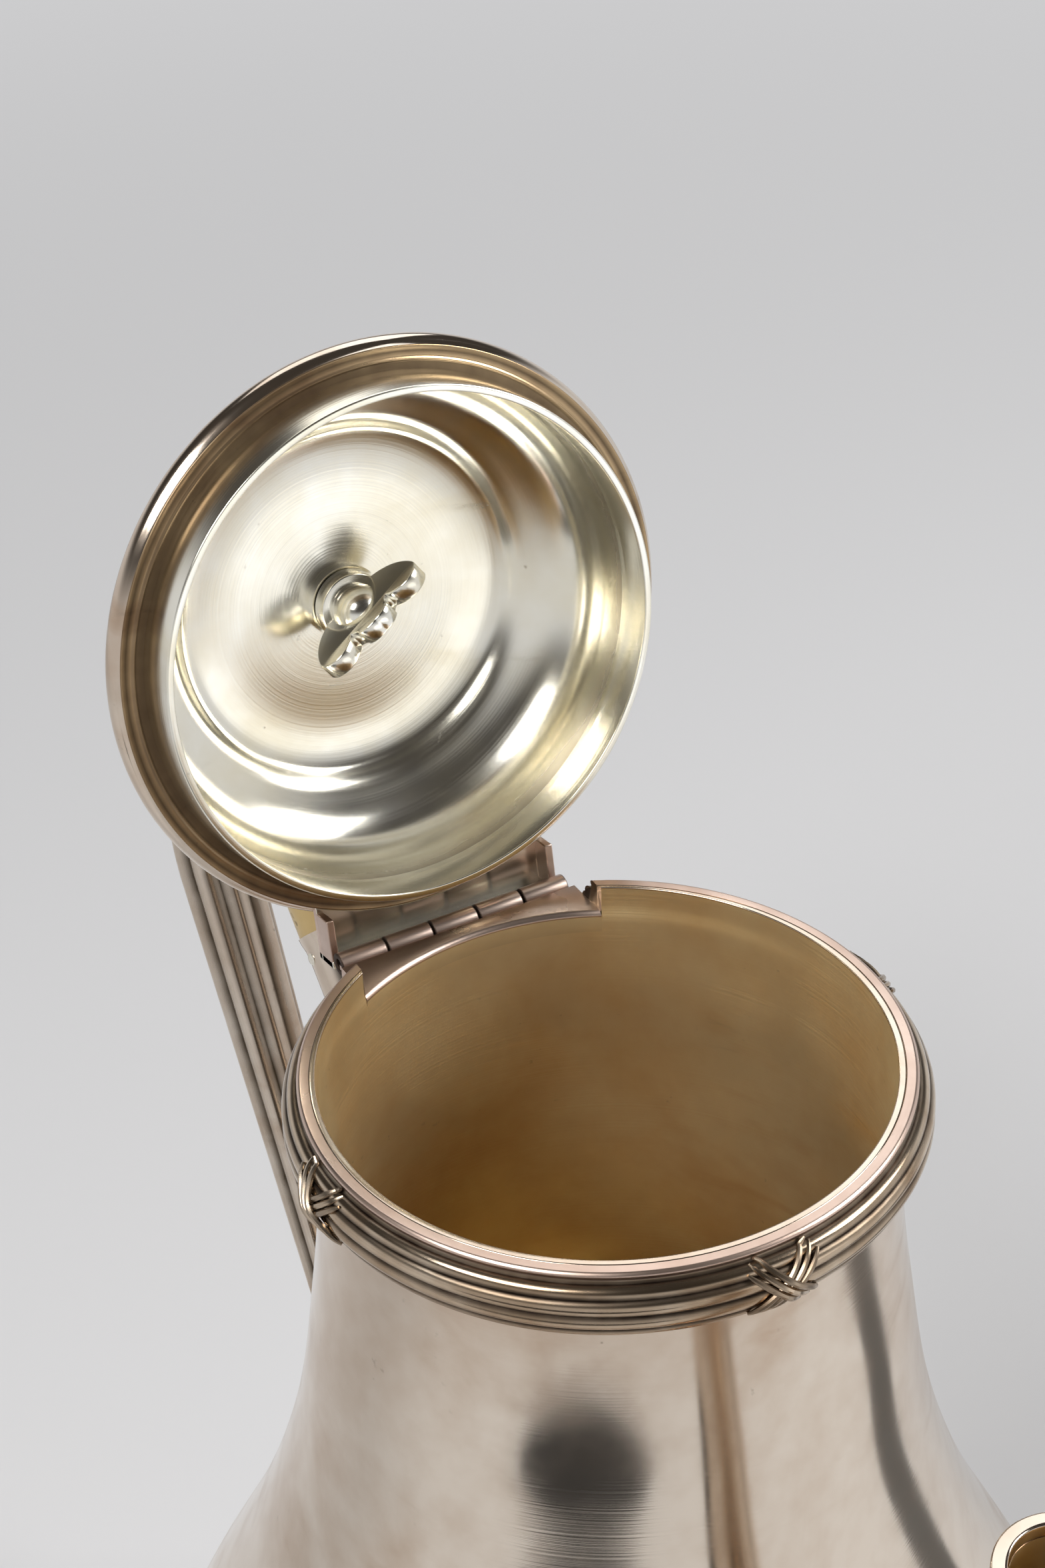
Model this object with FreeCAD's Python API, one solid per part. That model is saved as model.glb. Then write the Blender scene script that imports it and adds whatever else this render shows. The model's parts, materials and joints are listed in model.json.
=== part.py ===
import FreeCAD, Part
import math
import os

# A silver coffee pot: pear-shaped body on a reeded foot, hinged lid, swan-neck spout and loop handle.
# Millimetres. +Z is up, the spout points to +X, the hinge and the handle are at -X,
# and the foot stands on z = 0. The lid is stored open, on its stop.

V = FreeCAD.Vector
UP = V(0, 0, 1)
ACROSS = V(0, 1, 0)

# The origin is under the middle of the pot's length, and the body's axis stands this far in front of it
AXIS_X = 13.4

# Body
RIM_Z = 190.0
MOUTH_R = 36.0
WALL = 1.0
NECK_DEPTH = 12.0
BASE_R = 42.0
BASE_Z = 12.0
# Outside of the body below the neck: radius and depth under the rim
BODY_OUTLINE = ((37.9, 27), (39.2, 37), (41.8, 54), (46.6, 72), (53.7, 90), (62.6, 108), (68.6, 124),
                (70.5, 139), (67.0, 157), (56.5, 172))
# The wall is made in bands, one above the other, that part at these points of the outline
BODY_PARTINGS = ((41.8, 54), (53.7, 90), (70.5, 139))
STRAINER_HOLE_R = 1.4
STRAINER_PITCH = 4.6
STRAINER_DEPTH = 117.0
# Cutting blocks start well inside the wall and end well outside it
CUT_IN = 20.0
CUT_OUT = 60.0

# Reeded collar at the mouth: seams between the reeds, as radius and depth under the rim
COLLAR_FLAT_R = 37.9
COLLAR_SEAMS = ((38.6, 1.5), (39.9, 2.9), (40.3, 5.0), (39.9, 7.2), (38.6, 8.8))
COLLAR_DEPTH = 9.2
REED_RISE = 0.24
RIBBON_LIFT = 0.6
RIBBON_LIP = 0.25
RIBBON_WIDTH = 3.0
RIBBON_TILT = 40.0
RIBBON_HALF = 12.0
COLLAR_BEVEL = (38.3, 0.5)
COLLAR_COVE = (38.2, 1.1)
COLLAR_END_R = 37.8
COLLAR_CROWN = (41.6, 5.1)

# Foot: a spread ring with a flange under the base, as radius and height over the table
FOOT_NECK_R = 41.5
FOOT_R = 46.8
FOOT_WALL = 2.0
FOOT_SHOULDER = 6.4
FOOT_COVE = (43.4, 8.0)
FOOT_HOLLOW = ((44.8, 5.4), (41.8, 7.0), (39.5, 10.8))
FOOT_FLANGE_R = 37.5
FOOT_CROWN = (52.1, 3.0)
FOOT_REST_R = 50.1
FOOT_SEAMS = ((48.2, 6.4), (50.0, 4.6), (50.8, 2.4), (50.4, 0.4))

# Hinge: the pin's place, the lid's opening angle and the notch cut in the rim for it
HINGE_X = -40.76
HINGE_Z = RIM_Z - 4.85
LID_OPEN = 99.33
BARREL_R = 1.5
BARREL_HALF = 17.2
KNUCKLES = 5
KNUCKLE_GAP = 0.3
PIN_R = 0.8
PIN_RUNNING = 0.06
PIN_HALF = 16.4
NOTCH_HALF = 17.7
NOTCH_DEPTH = 7.0
LEAF_DEPTH = 3.2
LEAF_THICK = 1.4
LEAF_CHAMFER = 0.6
SWING_GAP = 0.35
LID_LEAF_THICK = 1.1
LID_LEAF_CHEEK = 5.5
KNUCKLE_WEB_DROP = 0.4
# How far the mouth is filed back on the hinge's side, so that the lid's bezel swings clear, and how widely
RELIEF = 0.5
RELIEF_HALF = 30.0

# Lid, described closed
SEAT_GAP = 0.3
BEZEL_R = 35.3
BEZEL_END_R = 34.8
BEZEL_DEPTH = 6.0
LID_SEAM = 1.0
LID_RIM_TOP = 4.6
DOME_TOP = 18.0
DOME_FLAT_R = 12.0
# Outside of the lid's dome from its flat top down to its straight skirt: radius and height over the rim
DOME_OUTLINE = ((22.6, 17.3), (24.7, 16.4), (26.0, 15.2), (27.8, 14.3), (30.7, 12.9), (33.9, 9.6))
LID_LIP_R = 38.4
LID_BEAD = ((38.7, 0.9), (39.5, 2.4), (37.9, 4.2))
LID_SHOULDER_R = 37.2
# Finial on its turned foot: radius and height over the rim
FINIAL_FOOT = (9.0, 19.0)
FINIAL_COVE = (5.6, 20.0)
FINIAL_NECK = (4.2, 22.0)
FINIAL_BEAD_R = 5.0
FINIAL_BASE = 23.4
FINIAL_OUTLINE = ((4.0, 23.4), (8.0, 30.5), (5.0, 39.5), (0.0, 46.5))
STUD_R = 2.0
STUD_CLEAR = 0.2
STUD_LOW = 7.4
STUD_HIGH = 36.0
WASHER_R = 5.2
WASHER_THICK = 1.5
NUT_GAP = 0.3
NUT_RUNNING = 0.05
NUT_TURN = 54.9
# Fly nut: the cup's radius and distance under its seat, and one half of the wing from its free edge
NUT_CUP = ((4.4, 0.0), (4.0, 3.4), (2.9, 5.2))
WING_THICK = 1.7
WING_SET = 1.6
WING_HIGH = 8.6
WING_ARCS = (((0, 0), (2.1, 0.5), (3.2, 2.3)), ((3.2, 2.3), (6.6, 0.0), (9.2, 2.6)),
             ((9.2, 2.6), (7.9, 5.8), (3.4, 8.6)))

# Spout: the centre line as distance from the axis and depth under the rim, with the half sizes across it
SPOUT_LINE = ((54, 128), (70, 112), (80, 88), (84, 58), (88, 30), (95.5, 4.4))
SPOUT_HALF = ((17.0, 14.0), (14.2, 12.2), (11.6, 10.4), (9.8, 9.0), (9.2, 8.2), (10.2, 8.2))
SPOUT_WALL = 1.1
SPOUT_LIP = 1.8
SPOUT_LIP_OUT = 0.8
ROOT_COLLAR = 2.2

# Handle: section half sizes in the handle's plane and across it, and its turns
SOCKET_HALF = (5.6, 6.4)
GRIP_HALF = (5.8, 6.8)
GRIP_LOW_HALF = (4.6, 5.2)
SOCKET_END = (-77.5, -28.0)
SOCKET_RUN = 26.0
SOCKET_BEND = 20.0
# The sockets' roots run on into the body, which trims them
SOCKET_ROOT = 15.0
LOWER_ROOT = 20.0
RISE = 135.0
INSULATOR = 6.0
LOOP_RUN = 8.0
LOOP_BEND = 23.5
LOOP_TURN = 163.3
SHAFT = 72.9
LOW_BEND = 12.0
TENON_R = 3.0
TENON = 6.0
CROSS_PIN_R = 0.9
CROSS_PIN_SET = 3.4


def rim(radius, depth):
    """A profile point at a radius and a depth under the rim."""
    return V(radius, 0, RIM_Z - depth)


def side(radius, height):
    """A profile point at a radius and a height over the table."""
    return V(radius, 0, height)


def lines(*points):
    """Straight edges from point to point."""
    return [Part.LineSegment(a, b).toShape() for a, b in zip(points, points[1:])]


def arc(start, middle, end):
    return Part.Arc(start, middle, end).toShape()


def reed(start, end, rise):
    """An arc whose middle stands off the chord, away from the axis, by rise times the chord."""
    chord = end - start
    outward = V(-chord.z, 0, chord.x) * rise
    return arc(start, (start + end) * 0.5 + outward, end)


def reeds(seams):
    return [reed(a, b, REED_RISE) for a, b in zip(seams, seams[1:])]


def spline(points, start, end):
    curve = Part.BSplineCurve()
    curve.interpolate(Points=points, InitialTangent=start, FinalTangent=end)
    return curve


def shifted(curve, distance, start, end, count=16):
    """The curve moved sideways by a distance, to the right of its direction."""
    points = []
    for i in range(count):
        u = curve.FirstParameter + (curve.LastParameter - curve.FirstParameter) * i / (count - 1)
        way = curve.tangent(u)[0]
        points.append(curve.value(u) + V(way.z, 0, -way.x) * distance)
    return spline(points, start, end)


def lathe(edges):
    """A solid turned about the pot's axis from a closed profile."""
    wire = Part.Wire(Part.__sortEdges__(edges))
    return Part.Face(wire).revolve(V(), UP, 360)


def block(low, high):
    """A box from its lowest to its highest corner."""
    size = V(*high) - V(*low)
    return Part.makeBox(size.x, size.y, size.z, V(*low))


def rod(radius, start, length, way):
    return Part.makeCylinder(radius, length, start, way)


# Body of the pot

def body_curve():
    points = [rim(MOUTH_R + WALL, NECK_DEPTH)] + [rim(r, d) for r, d in BODY_OUTLINE] + [side(BASE_R, BASE_Z)]
    return spline(points, V(0, 0, -1), V(-1, 0, 0))


def in_bands(curve):
    """The body's curve as one edge from parting to parting."""
    inner = [curve.parameter(rim(r, d)) for r, d in BODY_PARTINGS]
    places = [curve.FirstParameter] + inner + [curve.LastParameter]
    return [curve.toShape(a, b) for a, b in zip(places, places[1:])]


def body_filled(grow=0.0):
    """The body's outside as a full solid, grown by a distance."""
    curve = body_curve()
    if grow:
        curve = shifted(curve, -grow, V(0, 0, -1), V(-1, 0, 0))
    top, bottom = curve.StartPoint, curve.EndPoint
    edges = lines(bottom, V(0, 0, bottom.z), V(0, 0, RIM_Z), V(top.x, 0, RIM_Z), top)
    return lathe(edges + [curve.toShape()])


def body_shell():
    outer = body_curve()
    inner = shifted(outer, WALL, V(0, 0, -1), V(-1, 0, 0))
    edges = lines(inner.StartPoint, rim(MOUTH_R, 0), rim(MOUTH_R + WALL, 0), outer.StartPoint)
    edges += lines(outer.EndPoint, inner.EndPoint) + in_bands(outer) + in_bands(inner)
    return lathe(edges).cut(hinge_notch()).cut(mouth_relief()).cut(strainer_drills())


def hinge_notch():
    return block((-CUT_OUT, -NOTCH_HALF, RIM_Z - NOTCH_DEPTH), (-CUT_IN, NOTCH_HALF, RIM_Z + NOTCH_DEPTH))


def mouth_relief():
    """The mouth's bore moved back a little, from the hinge's level up, on the hinge's side."""
    rise = 2 * (RIM_Z - HINGE_Z)
    bore = rod(MOUTH_R, V(-RELIEF, 0, HINGE_Z), rise, UP)
    return bore.common(block((-CUT_OUT, -RELIEF_HALF, HINGE_Z), (0, RELIEF_HALF, HINGE_Z + rise)))


def strainer_drills():
    """Nineteen holes on a hexagonal grid, through the wall behind the spout."""
    drills = []
    for column in range(-2, 3):
        for row in range(5 - abs(column)):
            y = column * STRAINER_PITCH * math.sqrt(3) / 2
            z = RIM_Z - STRAINER_DEPTH + (row - (4 - abs(column)) / 2) * STRAINER_PITCH
            drills.append(rod(STRAINER_HOLE_R, V(CUT_IN, y, z), 3 * CUT_IN, V(1, 0, 0)))
    return Part.makeCompound(drills)


def base_plate():
    return rod(BASE_R, V(0, 0, BASE_Z), WALL, UP)


# Reeded bands and the ribbons crossed over them

def collar_seams():
    return [rim(r, d) for r, d in COLLAR_SEAMS]


def neck_reed_band():
    inside = MOUTH_R + WALL
    seams = collar_seams()
    bevel = rim(*COLLAR_BEVEL)
    cove = arc(bevel, rim(*COLLAR_COVE), seams[0])
    top = lines(rim(inside, COLLAR_DEPTH), rim(inside, 0), rim(COLLAR_FLAT_R, 0), bevel)
    bottom = lines(seams[-1], rim(COLLAR_END_R, COLLAR_DEPTH), rim(inside, COLLAR_DEPTH))
    return lathe(top + [cove] + reeds(seams) + bottom).cut(hinge_notch())


def ribbon_ring(seams, crown):
    """The skin between the reeds and a smooth crown over them."""
    first = seams[0] + V(RIBBON_LIFT, 0, RIBBON_LIP)
    last = seams[-1] + V(RIBBON_LIFT, 0, -RIBBON_LIP)
    edges = lines(seams[0], first) + [arc(first, crown, last)] + lines(last, seams[-1])
    return lathe(edges + reeds(seams))


def crossed_ribbons(seams, crown, turns):
    """Two slanting bands crossed over the reeds, at each of the turns about the axis."""
    ring = ribbon_ring(seams, crown)
    middle = (seams[0].z + seams[-1].z) / 2
    crosses = []
    for turn in turns:
        bands = []
        for tilt in (-RIBBON_TILT, RIBBON_TILT):
            low, high = middle - RIBBON_WIDTH / 2, middle + RIBBON_WIDTH / 2
            band = block((CUT_IN, -CUT_IN, low), (CUT_OUT, CUT_IN, high))
            bands.append(band.rotate(V(0, 0, middle), V(1, 0, 0), tilt))
        near = block((CUT_IN, -RIBBON_HALF, middle - CUT_IN), (CUT_OUT, RIBBON_HALF, middle + CUT_IN))
        cross = ring.common(bands[0].fuse(bands[1]).common(near))
        crosses.append(cross.rotate(V(), UP, turn))
    return Part.makeCompound(crosses)


def neck_ribbons():
    return crossed_ribbons(collar_seams(), rim(*COLLAR_CROWN), (-90, 0, 90))


def foot_seams():
    return [side(r, z) for r, z in FOOT_SEAMS]


def foot_ring():
    low, middle, high = [side(r, z) for r, z in FOOT_HOLLOW]
    shoulder = side(FOOT_R, FOOT_SHOULDER)
    neck = side(FOOT_NECK_R, BASE_Z)
    skirt = lines(shoulder, side(FOOT_R, 0), side(FOOT_R - FOOT_WALL, 0), low)
    flange = lines(high, side(FOOT_FLANGE_R, high.z), side(FOOT_FLANGE_R, BASE_Z), neck)
    return lathe([arc(neck, side(*FOOT_COVE), shoulder), arc(low, middle, high)] + skirt + flange)


def foot_reed_band():
    seams = foot_seams()
    edges = lines(seams[-1], side(FOOT_REST_R, 0), side(FOOT_R, 0), side(FOOT_R, seams[0].z), seams[0])
    return lathe(edges + reeds(seams))


def foot_ribbons():
    return crossed_ribbons(foot_seams(), side(*FOOT_CROWN), (0, 90, 180, 270))


# Hinge

def along_pin(radius, low, high):
    return rod(radius, V(HINGE_X, low, HINGE_Z), high - low, ACROSS)


def knuckle_span(index, gap=KNUCKLE_GAP):
    """Where a knuckle starts and ends along the pin; the ends of the barrel have no gap."""
    pitch = 2 * BARREL_HALF / KNUCKLES
    low = -BARREL_HALF + index * pitch + (gap / 2 if index else 0)
    high = -BARREL_HALF + (index + 1) * pitch - (gap / 2 if index < KNUCKLES - 1 else 0)
    return low, high


def hinge_fixed_leaf():
    """A plate that closes the notch up to the mouth, with three knuckles, and a filler under it."""
    front = HINGE_X + BARREL_R + SWING_GAP
    top = RIM_Z - LEAF_DEPTH
    floor = RIM_Z - NOTCH_DEPTH
    plate = block((front, -NOTCH_HALF, top - LEAF_THICK), (-CUT_IN, NOTCH_HALF, top))
    filler = block((front, -NOTCH_HALF, floor), (-CUT_IN, NOTCH_HALF, top - LEAF_THICK))
    leaf = plate.fuse(filler.common(rod(COLLAR_SEAMS[2][0], V(0, 0, floor), CUT_IN, UP)))
    for index in range(0, KNUCKLES, 2):
        low, high = knuckle_span(index)
        web = block((HINGE_X, low, HINGE_Z - BARREL_R), (front, high, top - KNUCKLE_WEB_DROP))
        leaf = leaf.fuse(along_pin(BARREL_R, low, high)).fuse(web)
    slope = Part.makeCone(MOUTH_R, MOUTH_R + LEAF_CHAMFER, LEAF_CHAMFER, V(0, 0, top - LEAF_CHAMFER), UP)
    leaf = leaf.cut(rod(MOUTH_R, V(0, 0, floor), CUT_IN, UP)).cut(slope)
    return leaf.cut(along_pin(PIN_R, -BARREL_HALF, BARREL_HALF)).removeSplitter()


def hinge_pin():
    return along_pin(PIN_R, -PIN_HALF, PIN_HALF)


def hinge_lid_leaf():
    """A box under the lid's rim: a back plate, a top flange and two end walls, with two knuckles."""
    back = HINGE_X - BARREL_R
    inner = back + LID_LEAF_THICK
    seat = RIM_Z + SEAT_GAP
    leaf = block((back, -BARREL_HALF, HINGE_Z), (inner, BARREL_HALF, seat + LID_LEAF_THICK))
    flange = block((back, -BARREL_HALF, seat), (-CUT_IN, BARREL_HALF, seat + LID_LEAF_THICK))
    leaf = leaf.fuse(flange.cut(rod(MOUTH_R, V(0, 0, HINGE_Z), CUT_IN, UP)))
    for low in (-BARREL_HALF, BARREL_HALF - LID_LEAF_THICK):
        wall_low = RIM_Z - LEAF_DEPTH + SWING_GAP
        leaf = leaf.fuse(block((back, low, wall_low), (HINGE_X + LID_LEAF_CHEEK, low + LID_LEAF_THICK, seat)))
    for index in range(0, KNUCKLES, 2):
        low, high = knuckle_span(index, -KNUCKLE_GAP)
        leaf = leaf.cut(along_pin(BARREL_R + SWING_GAP, low, high))
    for index in range(1, KNUCKLES, 2):
        low, high = knuckle_span(index)
        leaf = leaf.fuse(along_pin(BARREL_R, low, high))
    leaf = leaf.cut(along_pin(PIN_R + PIN_RUNNING, -BARREL_HALF, BARREL_HALF))
    return leaf.cut(lid_rim()).removeSplitter()


# Lid, closed; opened() swings a finished piece to the stored pose

def lid_bezel():
    """A band that drops into the mouth, drawn in a little from the rim's level down."""
    top, level, end = rim(BEZEL_R, -LID_SEAM), rim(BEZEL_R, 0), rim(BEZEL_END_R, BEZEL_DEPTH)
    wall = V(WALL, 0, 0)
    return lathe(lines(top, level, end, end - wall, level - wall, top - wall, top))


def lid_rim():
    """The moulded edge: a flat seat, a small lip and a round bead above it."""
    bead_low, bead_middle, bead_high = [rim(r, -h) for r, h in LID_BEAD]
    top = rim(BEZEL_R, -LID_RIM_TOP)
    edges = lines(top, rim(BEZEL_R, -SEAT_GAP), rim(LID_LIP_R, -SEAT_GAP), bead_low)
    edges += [arc(bead_low, bead_middle, bead_high)]
    return lathe(edges + lines(bead_high, rim(LID_SHOULDER_R, -LID_RIM_TOP), top))


def lid_dome():
    points = [rim(r, -h) for r, h in ((DOME_FLAT_R, DOME_TOP), *DOME_OUTLINE, (BEZEL_R, LID_RIM_TOP))]
    outer = spline(points, V(1, 0, 0), V(0, 0, -1))
    inner = shifted(outer, WALL, V(1, 0, 0), V(0, 0, -1), 24)
    bore = STUD_R + STUD_CLEAR
    edges = lines(outer.EndPoint, rim(BEZEL_R, -LID_SEAM), rim(BEZEL_R - WALL, -LID_SEAM), inner.EndPoint)
    edges += lines(inner.StartPoint, rim(bore, -DOME_TOP + WALL), rim(bore, -DOME_TOP), outer.StartPoint)
    return lathe(edges + [outer.toShape(), inner.toShape()])


def finial_collar():
    """A turned foot under the finial: a disc, a cove and a bead."""
    bore = STUD_R + STUD_CLEAR
    (foot_r, foot_top), (cove_r, cove_h), (neck_r, neck_h) = FINIAL_FOOT, FINIAL_COVE, FINIAL_NECK
    edge, neck, seat = rim(foot_r, -foot_top), rim(neck_r, -neck_h), rim(neck_r, -FINIAL_BASE)
    foot = lines(seat, rim(bore, -FINIAL_BASE), rim(bore, -DOME_TOP), rim(foot_r, -DOME_TOP), edge)
    bead = arc(neck, rim(FINIAL_BEAD_R, -(neck_h + FINIAL_BASE) / 2), seat)
    return lathe(foot + [arc(edge, rim(cove_r, -cove_h), neck), bead])


def finial():
    """A closed bud bored for the stud."""
    points = [rim(r, -h) for r, h in FINIAL_OUTLINE]
    bud = spline(points, V(1, 0, 0.3), V(-1, 0, 0.8))
    floor = rim(0, -STUD_HIGH)
    bore = lines(points[-1], floor, rim(STUD_R, -STUD_HIGH), rim(STUD_R, -FINIAL_BASE), points[0])
    return lathe([bud.toShape()] + bore)


def finial_stud():
    return rod(STUD_R, rim(0, -STUD_LOW), STUD_HIGH - STUD_LOW, UP)


def nut_washer():
    under = DOME_TOP - WALL - WASHER_THICK
    ring = rod(WASHER_R, rim(0, -under), WASHER_THICK, UP)
    return ring.cut(rod(STUD_R + STUD_CLEAR, rim(0, -under), WASHER_THICK, UP))


def nut_bore():
    """A blind hole: the wing's middle lobe covers the end of the stud."""
    return rod(STUD_R + NUT_RUNNING, rim(0, -STUD_LOW + NUT_GAP), DOME_TOP, UP)


def nut_seat():
    """The height over the rim where the nut meets its washer."""
    return DOME_TOP - WALL - WASHER_THICK - NUT_GAP


def nut_hub():
    """A round cup that seats on the washer, slotted for the wing."""
    seat, middle, end = [rim(r, d - nut_seat()) for r, d in NUT_CUP]
    hub = lathe([arc(seat, middle, end)] + lines(end, V(0, 0, end.z), V(0, 0, seat.z), seat))
    return hub.cut(nut_bore()).cut(wing_plate()).rotate(V(), UP, NUT_TURN)


def wing_plate():
    """A flat plate with three lobes and two notches, standing along the stud."""
    low = RIM_Z + nut_seat() - WING_SET - WING_HIGH
    edges = []
    for way in (1, -1):
        for points in WING_ARCS:
            edges.append(arc(*[V(way * x, -WING_THICK / 2, low + z) for x, z in points]))
    ends = [V(way * WING_ARCS[-1][-1][0], -WING_THICK / 2, low + WING_HIGH) for way in (1, -1)]
    wire = Part.Wire(Part.__sortEdges__(edges + lines(*ends)))
    return Part.Face(wire).extrude(V(0, WING_THICK, 0))


def nut_wing():
    return wing_plate().cut(nut_bore()).rotate(V(), UP, NUT_TURN)


def opened(shape):
    return shape.rotate(V(HINGE_X, 0, HINGE_Z), V(0, -1, 0), LID_OPEN)


# Spout

def oval(centre, way, half_in, half_across):
    """An ellipse with one half size along a direction in the pot's middle plane and one across it."""
    long_end, short_end = centre + way * half_in, centre + ACROSS * half_across
    if half_in < half_across:
        long_end, short_end = short_end, long_end
    return Part.Wire(Part.Ellipse(long_end, short_end, centre).toShape())


def spout_form(grow):
    """The spout's outside grown by a distance: ovals square to the centre line, the last one level."""
    points = [rim(x, d) for x, d in SPOUT_LINE]
    line = spline(points, V(0.85, 0, 0.5), V(0.35, 0, 1))
    ovals = []
    for point, (half_in, half_across) in zip(points, SPOUT_HALF):
        way = line.tangent(line.parameter(point))[0]
        square = V(1, 0, 0) if point == points[-1] else V(way.z, 0, -way.x)
        ovals.append(oval(point, square, half_in + grow, half_across + grow))
    return Part.makeLoft(ovals, True, False)


def spout_tube():
    return spout_form(0).cut(spout_form(-SPOUT_WALL)).cut(body_filled())


def spout_root_collar():
    ring = spout_form(ROOT_COLLAR).cut(spout_form(0))
    return ring.common(body_filled(ROOT_COLLAR)).cut(body_filled())


def spout_lip():
    """A flat band on the spout's mouth, a little wider than the tube."""
    mouth = rim(*SPOUT_LINE[-1])
    half_in, half_across = SPOUT_HALF[-1]
    faces = []
    for grow in (SPOUT_LIP_OUT, -SPOUT_WALL):
        faces.append(Part.Face(oval(mouth, V(1, 0, 0), half_in + grow, half_across + grow)))
    return faces[0].cut(faces[1]).extrude(V(0, 0, SPOUT_LIP))


# Handle

def heading(degrees):
    return V(math.cos(math.radians(degrees)), 0, math.sin(math.radians(degrees)))


def section(place, degrees, half):
    return oval(place, heading(degrees + 90), *half)


def run(place, degrees, length, half):
    """A straight stretch; returns the solid and where it ends."""
    way = heading(degrees) * length
    return Part.Face(section(place, degrees, half)).extrude(way), place + way


def bend(place, degrees, radius, turn, half):
    """A stretch that turns to the left; returns the solid and where it ends."""
    centre = place + heading(degrees + 90) * radius
    solid = Part.Face(section(place, degrees, half)).revolve(centre, V(0, -1, 0), turn)
    return solid, centre - heading(degrees + turn + 90) * radius


def upper_joint():
    """Where the upper insulator starts, at the end of its socket."""
    return V(SOCKET_END[0], 0, RIM_Z + SOCKET_END[1])


def lower_joint():
    """Where the lower insulator starts, at the end of the grip."""
    return loop_pieces()[1]


def loop_pieces():
    """The grip's solid without its bores, and where it ends."""
    start = upper_joint() + heading(RISE) * INSULATOR
    neck, place = run(start, RISE, LOOP_RUN, GRIP_HALF)
    arch, place = bend(place, RISE, LOOP_BEND, LOOP_TURN, GRIP_HALF)
    way = RISE + LOOP_TURN
    foot = place + heading(way) * SHAFT
    shaft = Part.makeLoft([section(place, way, GRIP_HALF), section(foot, way, GRIP_LOW_HALF)], True, True)
    toe, end = bend(foot, way, LOW_BEND, 360 - way, GRIP_LOW_HALF)
    return neck.fuse(arch).fuse(shaft).fuse(toe).removeSplitter(), end


def tenon(place, degrees):
    """The peg that runs from an insulator into the piece beyond it."""
    return rod(TENON_R, place, TENON, heading(degrees))


def cross_pin(place, degrees, half):
    """A pin across the pot through a tenon and the piece around it."""
    middle = place + heading(degrees) * CROSS_PIN_SET
    return rod(CROSS_PIN_R, middle - ACROSS * half[1], 2 * half[1], ACROSS)


def joints():
    """Each pegged end of the two insulators: place, heading of the peg, and the section around it."""
    upper, lower = upper_joint(), lower_joint()
    return ((upper, RISE + 180, SOCKET_HALF), (upper + heading(RISE) * INSULATOR, RISE, GRIP_HALF),
            (lower, 180, GRIP_LOW_HALF), (lower + V(INSULATOR, 0, 0), 0, GRIP_LOW_HALF))


def bored(solid):
    for place, degrees, half in joints():
        solid = solid.cut(tenon(place, degrees)).cut(cross_pin(place, degrees, half))
    return solid


def handle_loop():
    return bored(loop_pieces()[0])


def handle_socket_upper():
    """A tube that leaves the neck level and bends up to the insulator, built from its free end."""
    neck, place = run(upper_joint(), RISE + 180, SOCKET_RUN, SOCKET_HALF)
    elbow, place = bend(place, RISE + 180, SOCKET_BEND, 180 - RISE, SOCKET_HALF)
    root, place = run(place, 0, SOCKET_ROOT, SOCKET_HALF)
    return bored(neck.fuse(elbow).fuse(root).removeSplitter().cut(body_filled()))


def handle_socket_lower():
    start = lower_joint() + V(INSULATOR, 0, 0)
    root, place = run(start, 0, LOWER_ROOT, GRIP_LOW_HALF)
    return bored(root.cut(body_filled()))


def insulator(first, second):
    """A short block between two pegs."""
    solid = run(first[0], second[1], INSULATOR, second[2])[0]
    for place, degrees, half in (first, second):
        solid = solid.fuse(tenon(place, degrees)).cut(cross_pin(place, degrees, half))
    return solid.removeSplitter()


def insulator_upper():
    return insulator(*joints()[:2])


def insulator_lower():
    return insulator(*joints()[2:])


def handle_pins():
    return Part.makeCompound([cross_pin(*joint) for joint in joints()])


FIXED_PIECES = (body_shell, base_plate, neck_reed_band, neck_ribbons, foot_ring, foot_reed_band, foot_ribbons,
                hinge_fixed_leaf, hinge_pin, spout_tube, spout_root_collar, spout_lip, handle_socket_upper,
                handle_socket_lower, insulator_upper, insulator_lower, handle_loop, handle_pins)
LID_PIECES = (hinge_lid_leaf, lid_bezel, lid_rim, lid_dome, finial_collar, finial, finial_stud, nut_washer,
              nut_hub, nut_wing)


def kept(shape, name):
    """Moves a piece, described about the body's axis, into the frame and writes it."""
    shape.translated(V(AXIS_X, 0, 0)).exportStep("parts/" + name + ".step")


os.makedirs("parts", exist_ok=True)
for piece in FIXED_PIECES:
    kept(piece(), piece.__name__)
for piece in LID_PIECES:
    kept(opened(piece()), piece.__name__)
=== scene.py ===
import json
import math

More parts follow.
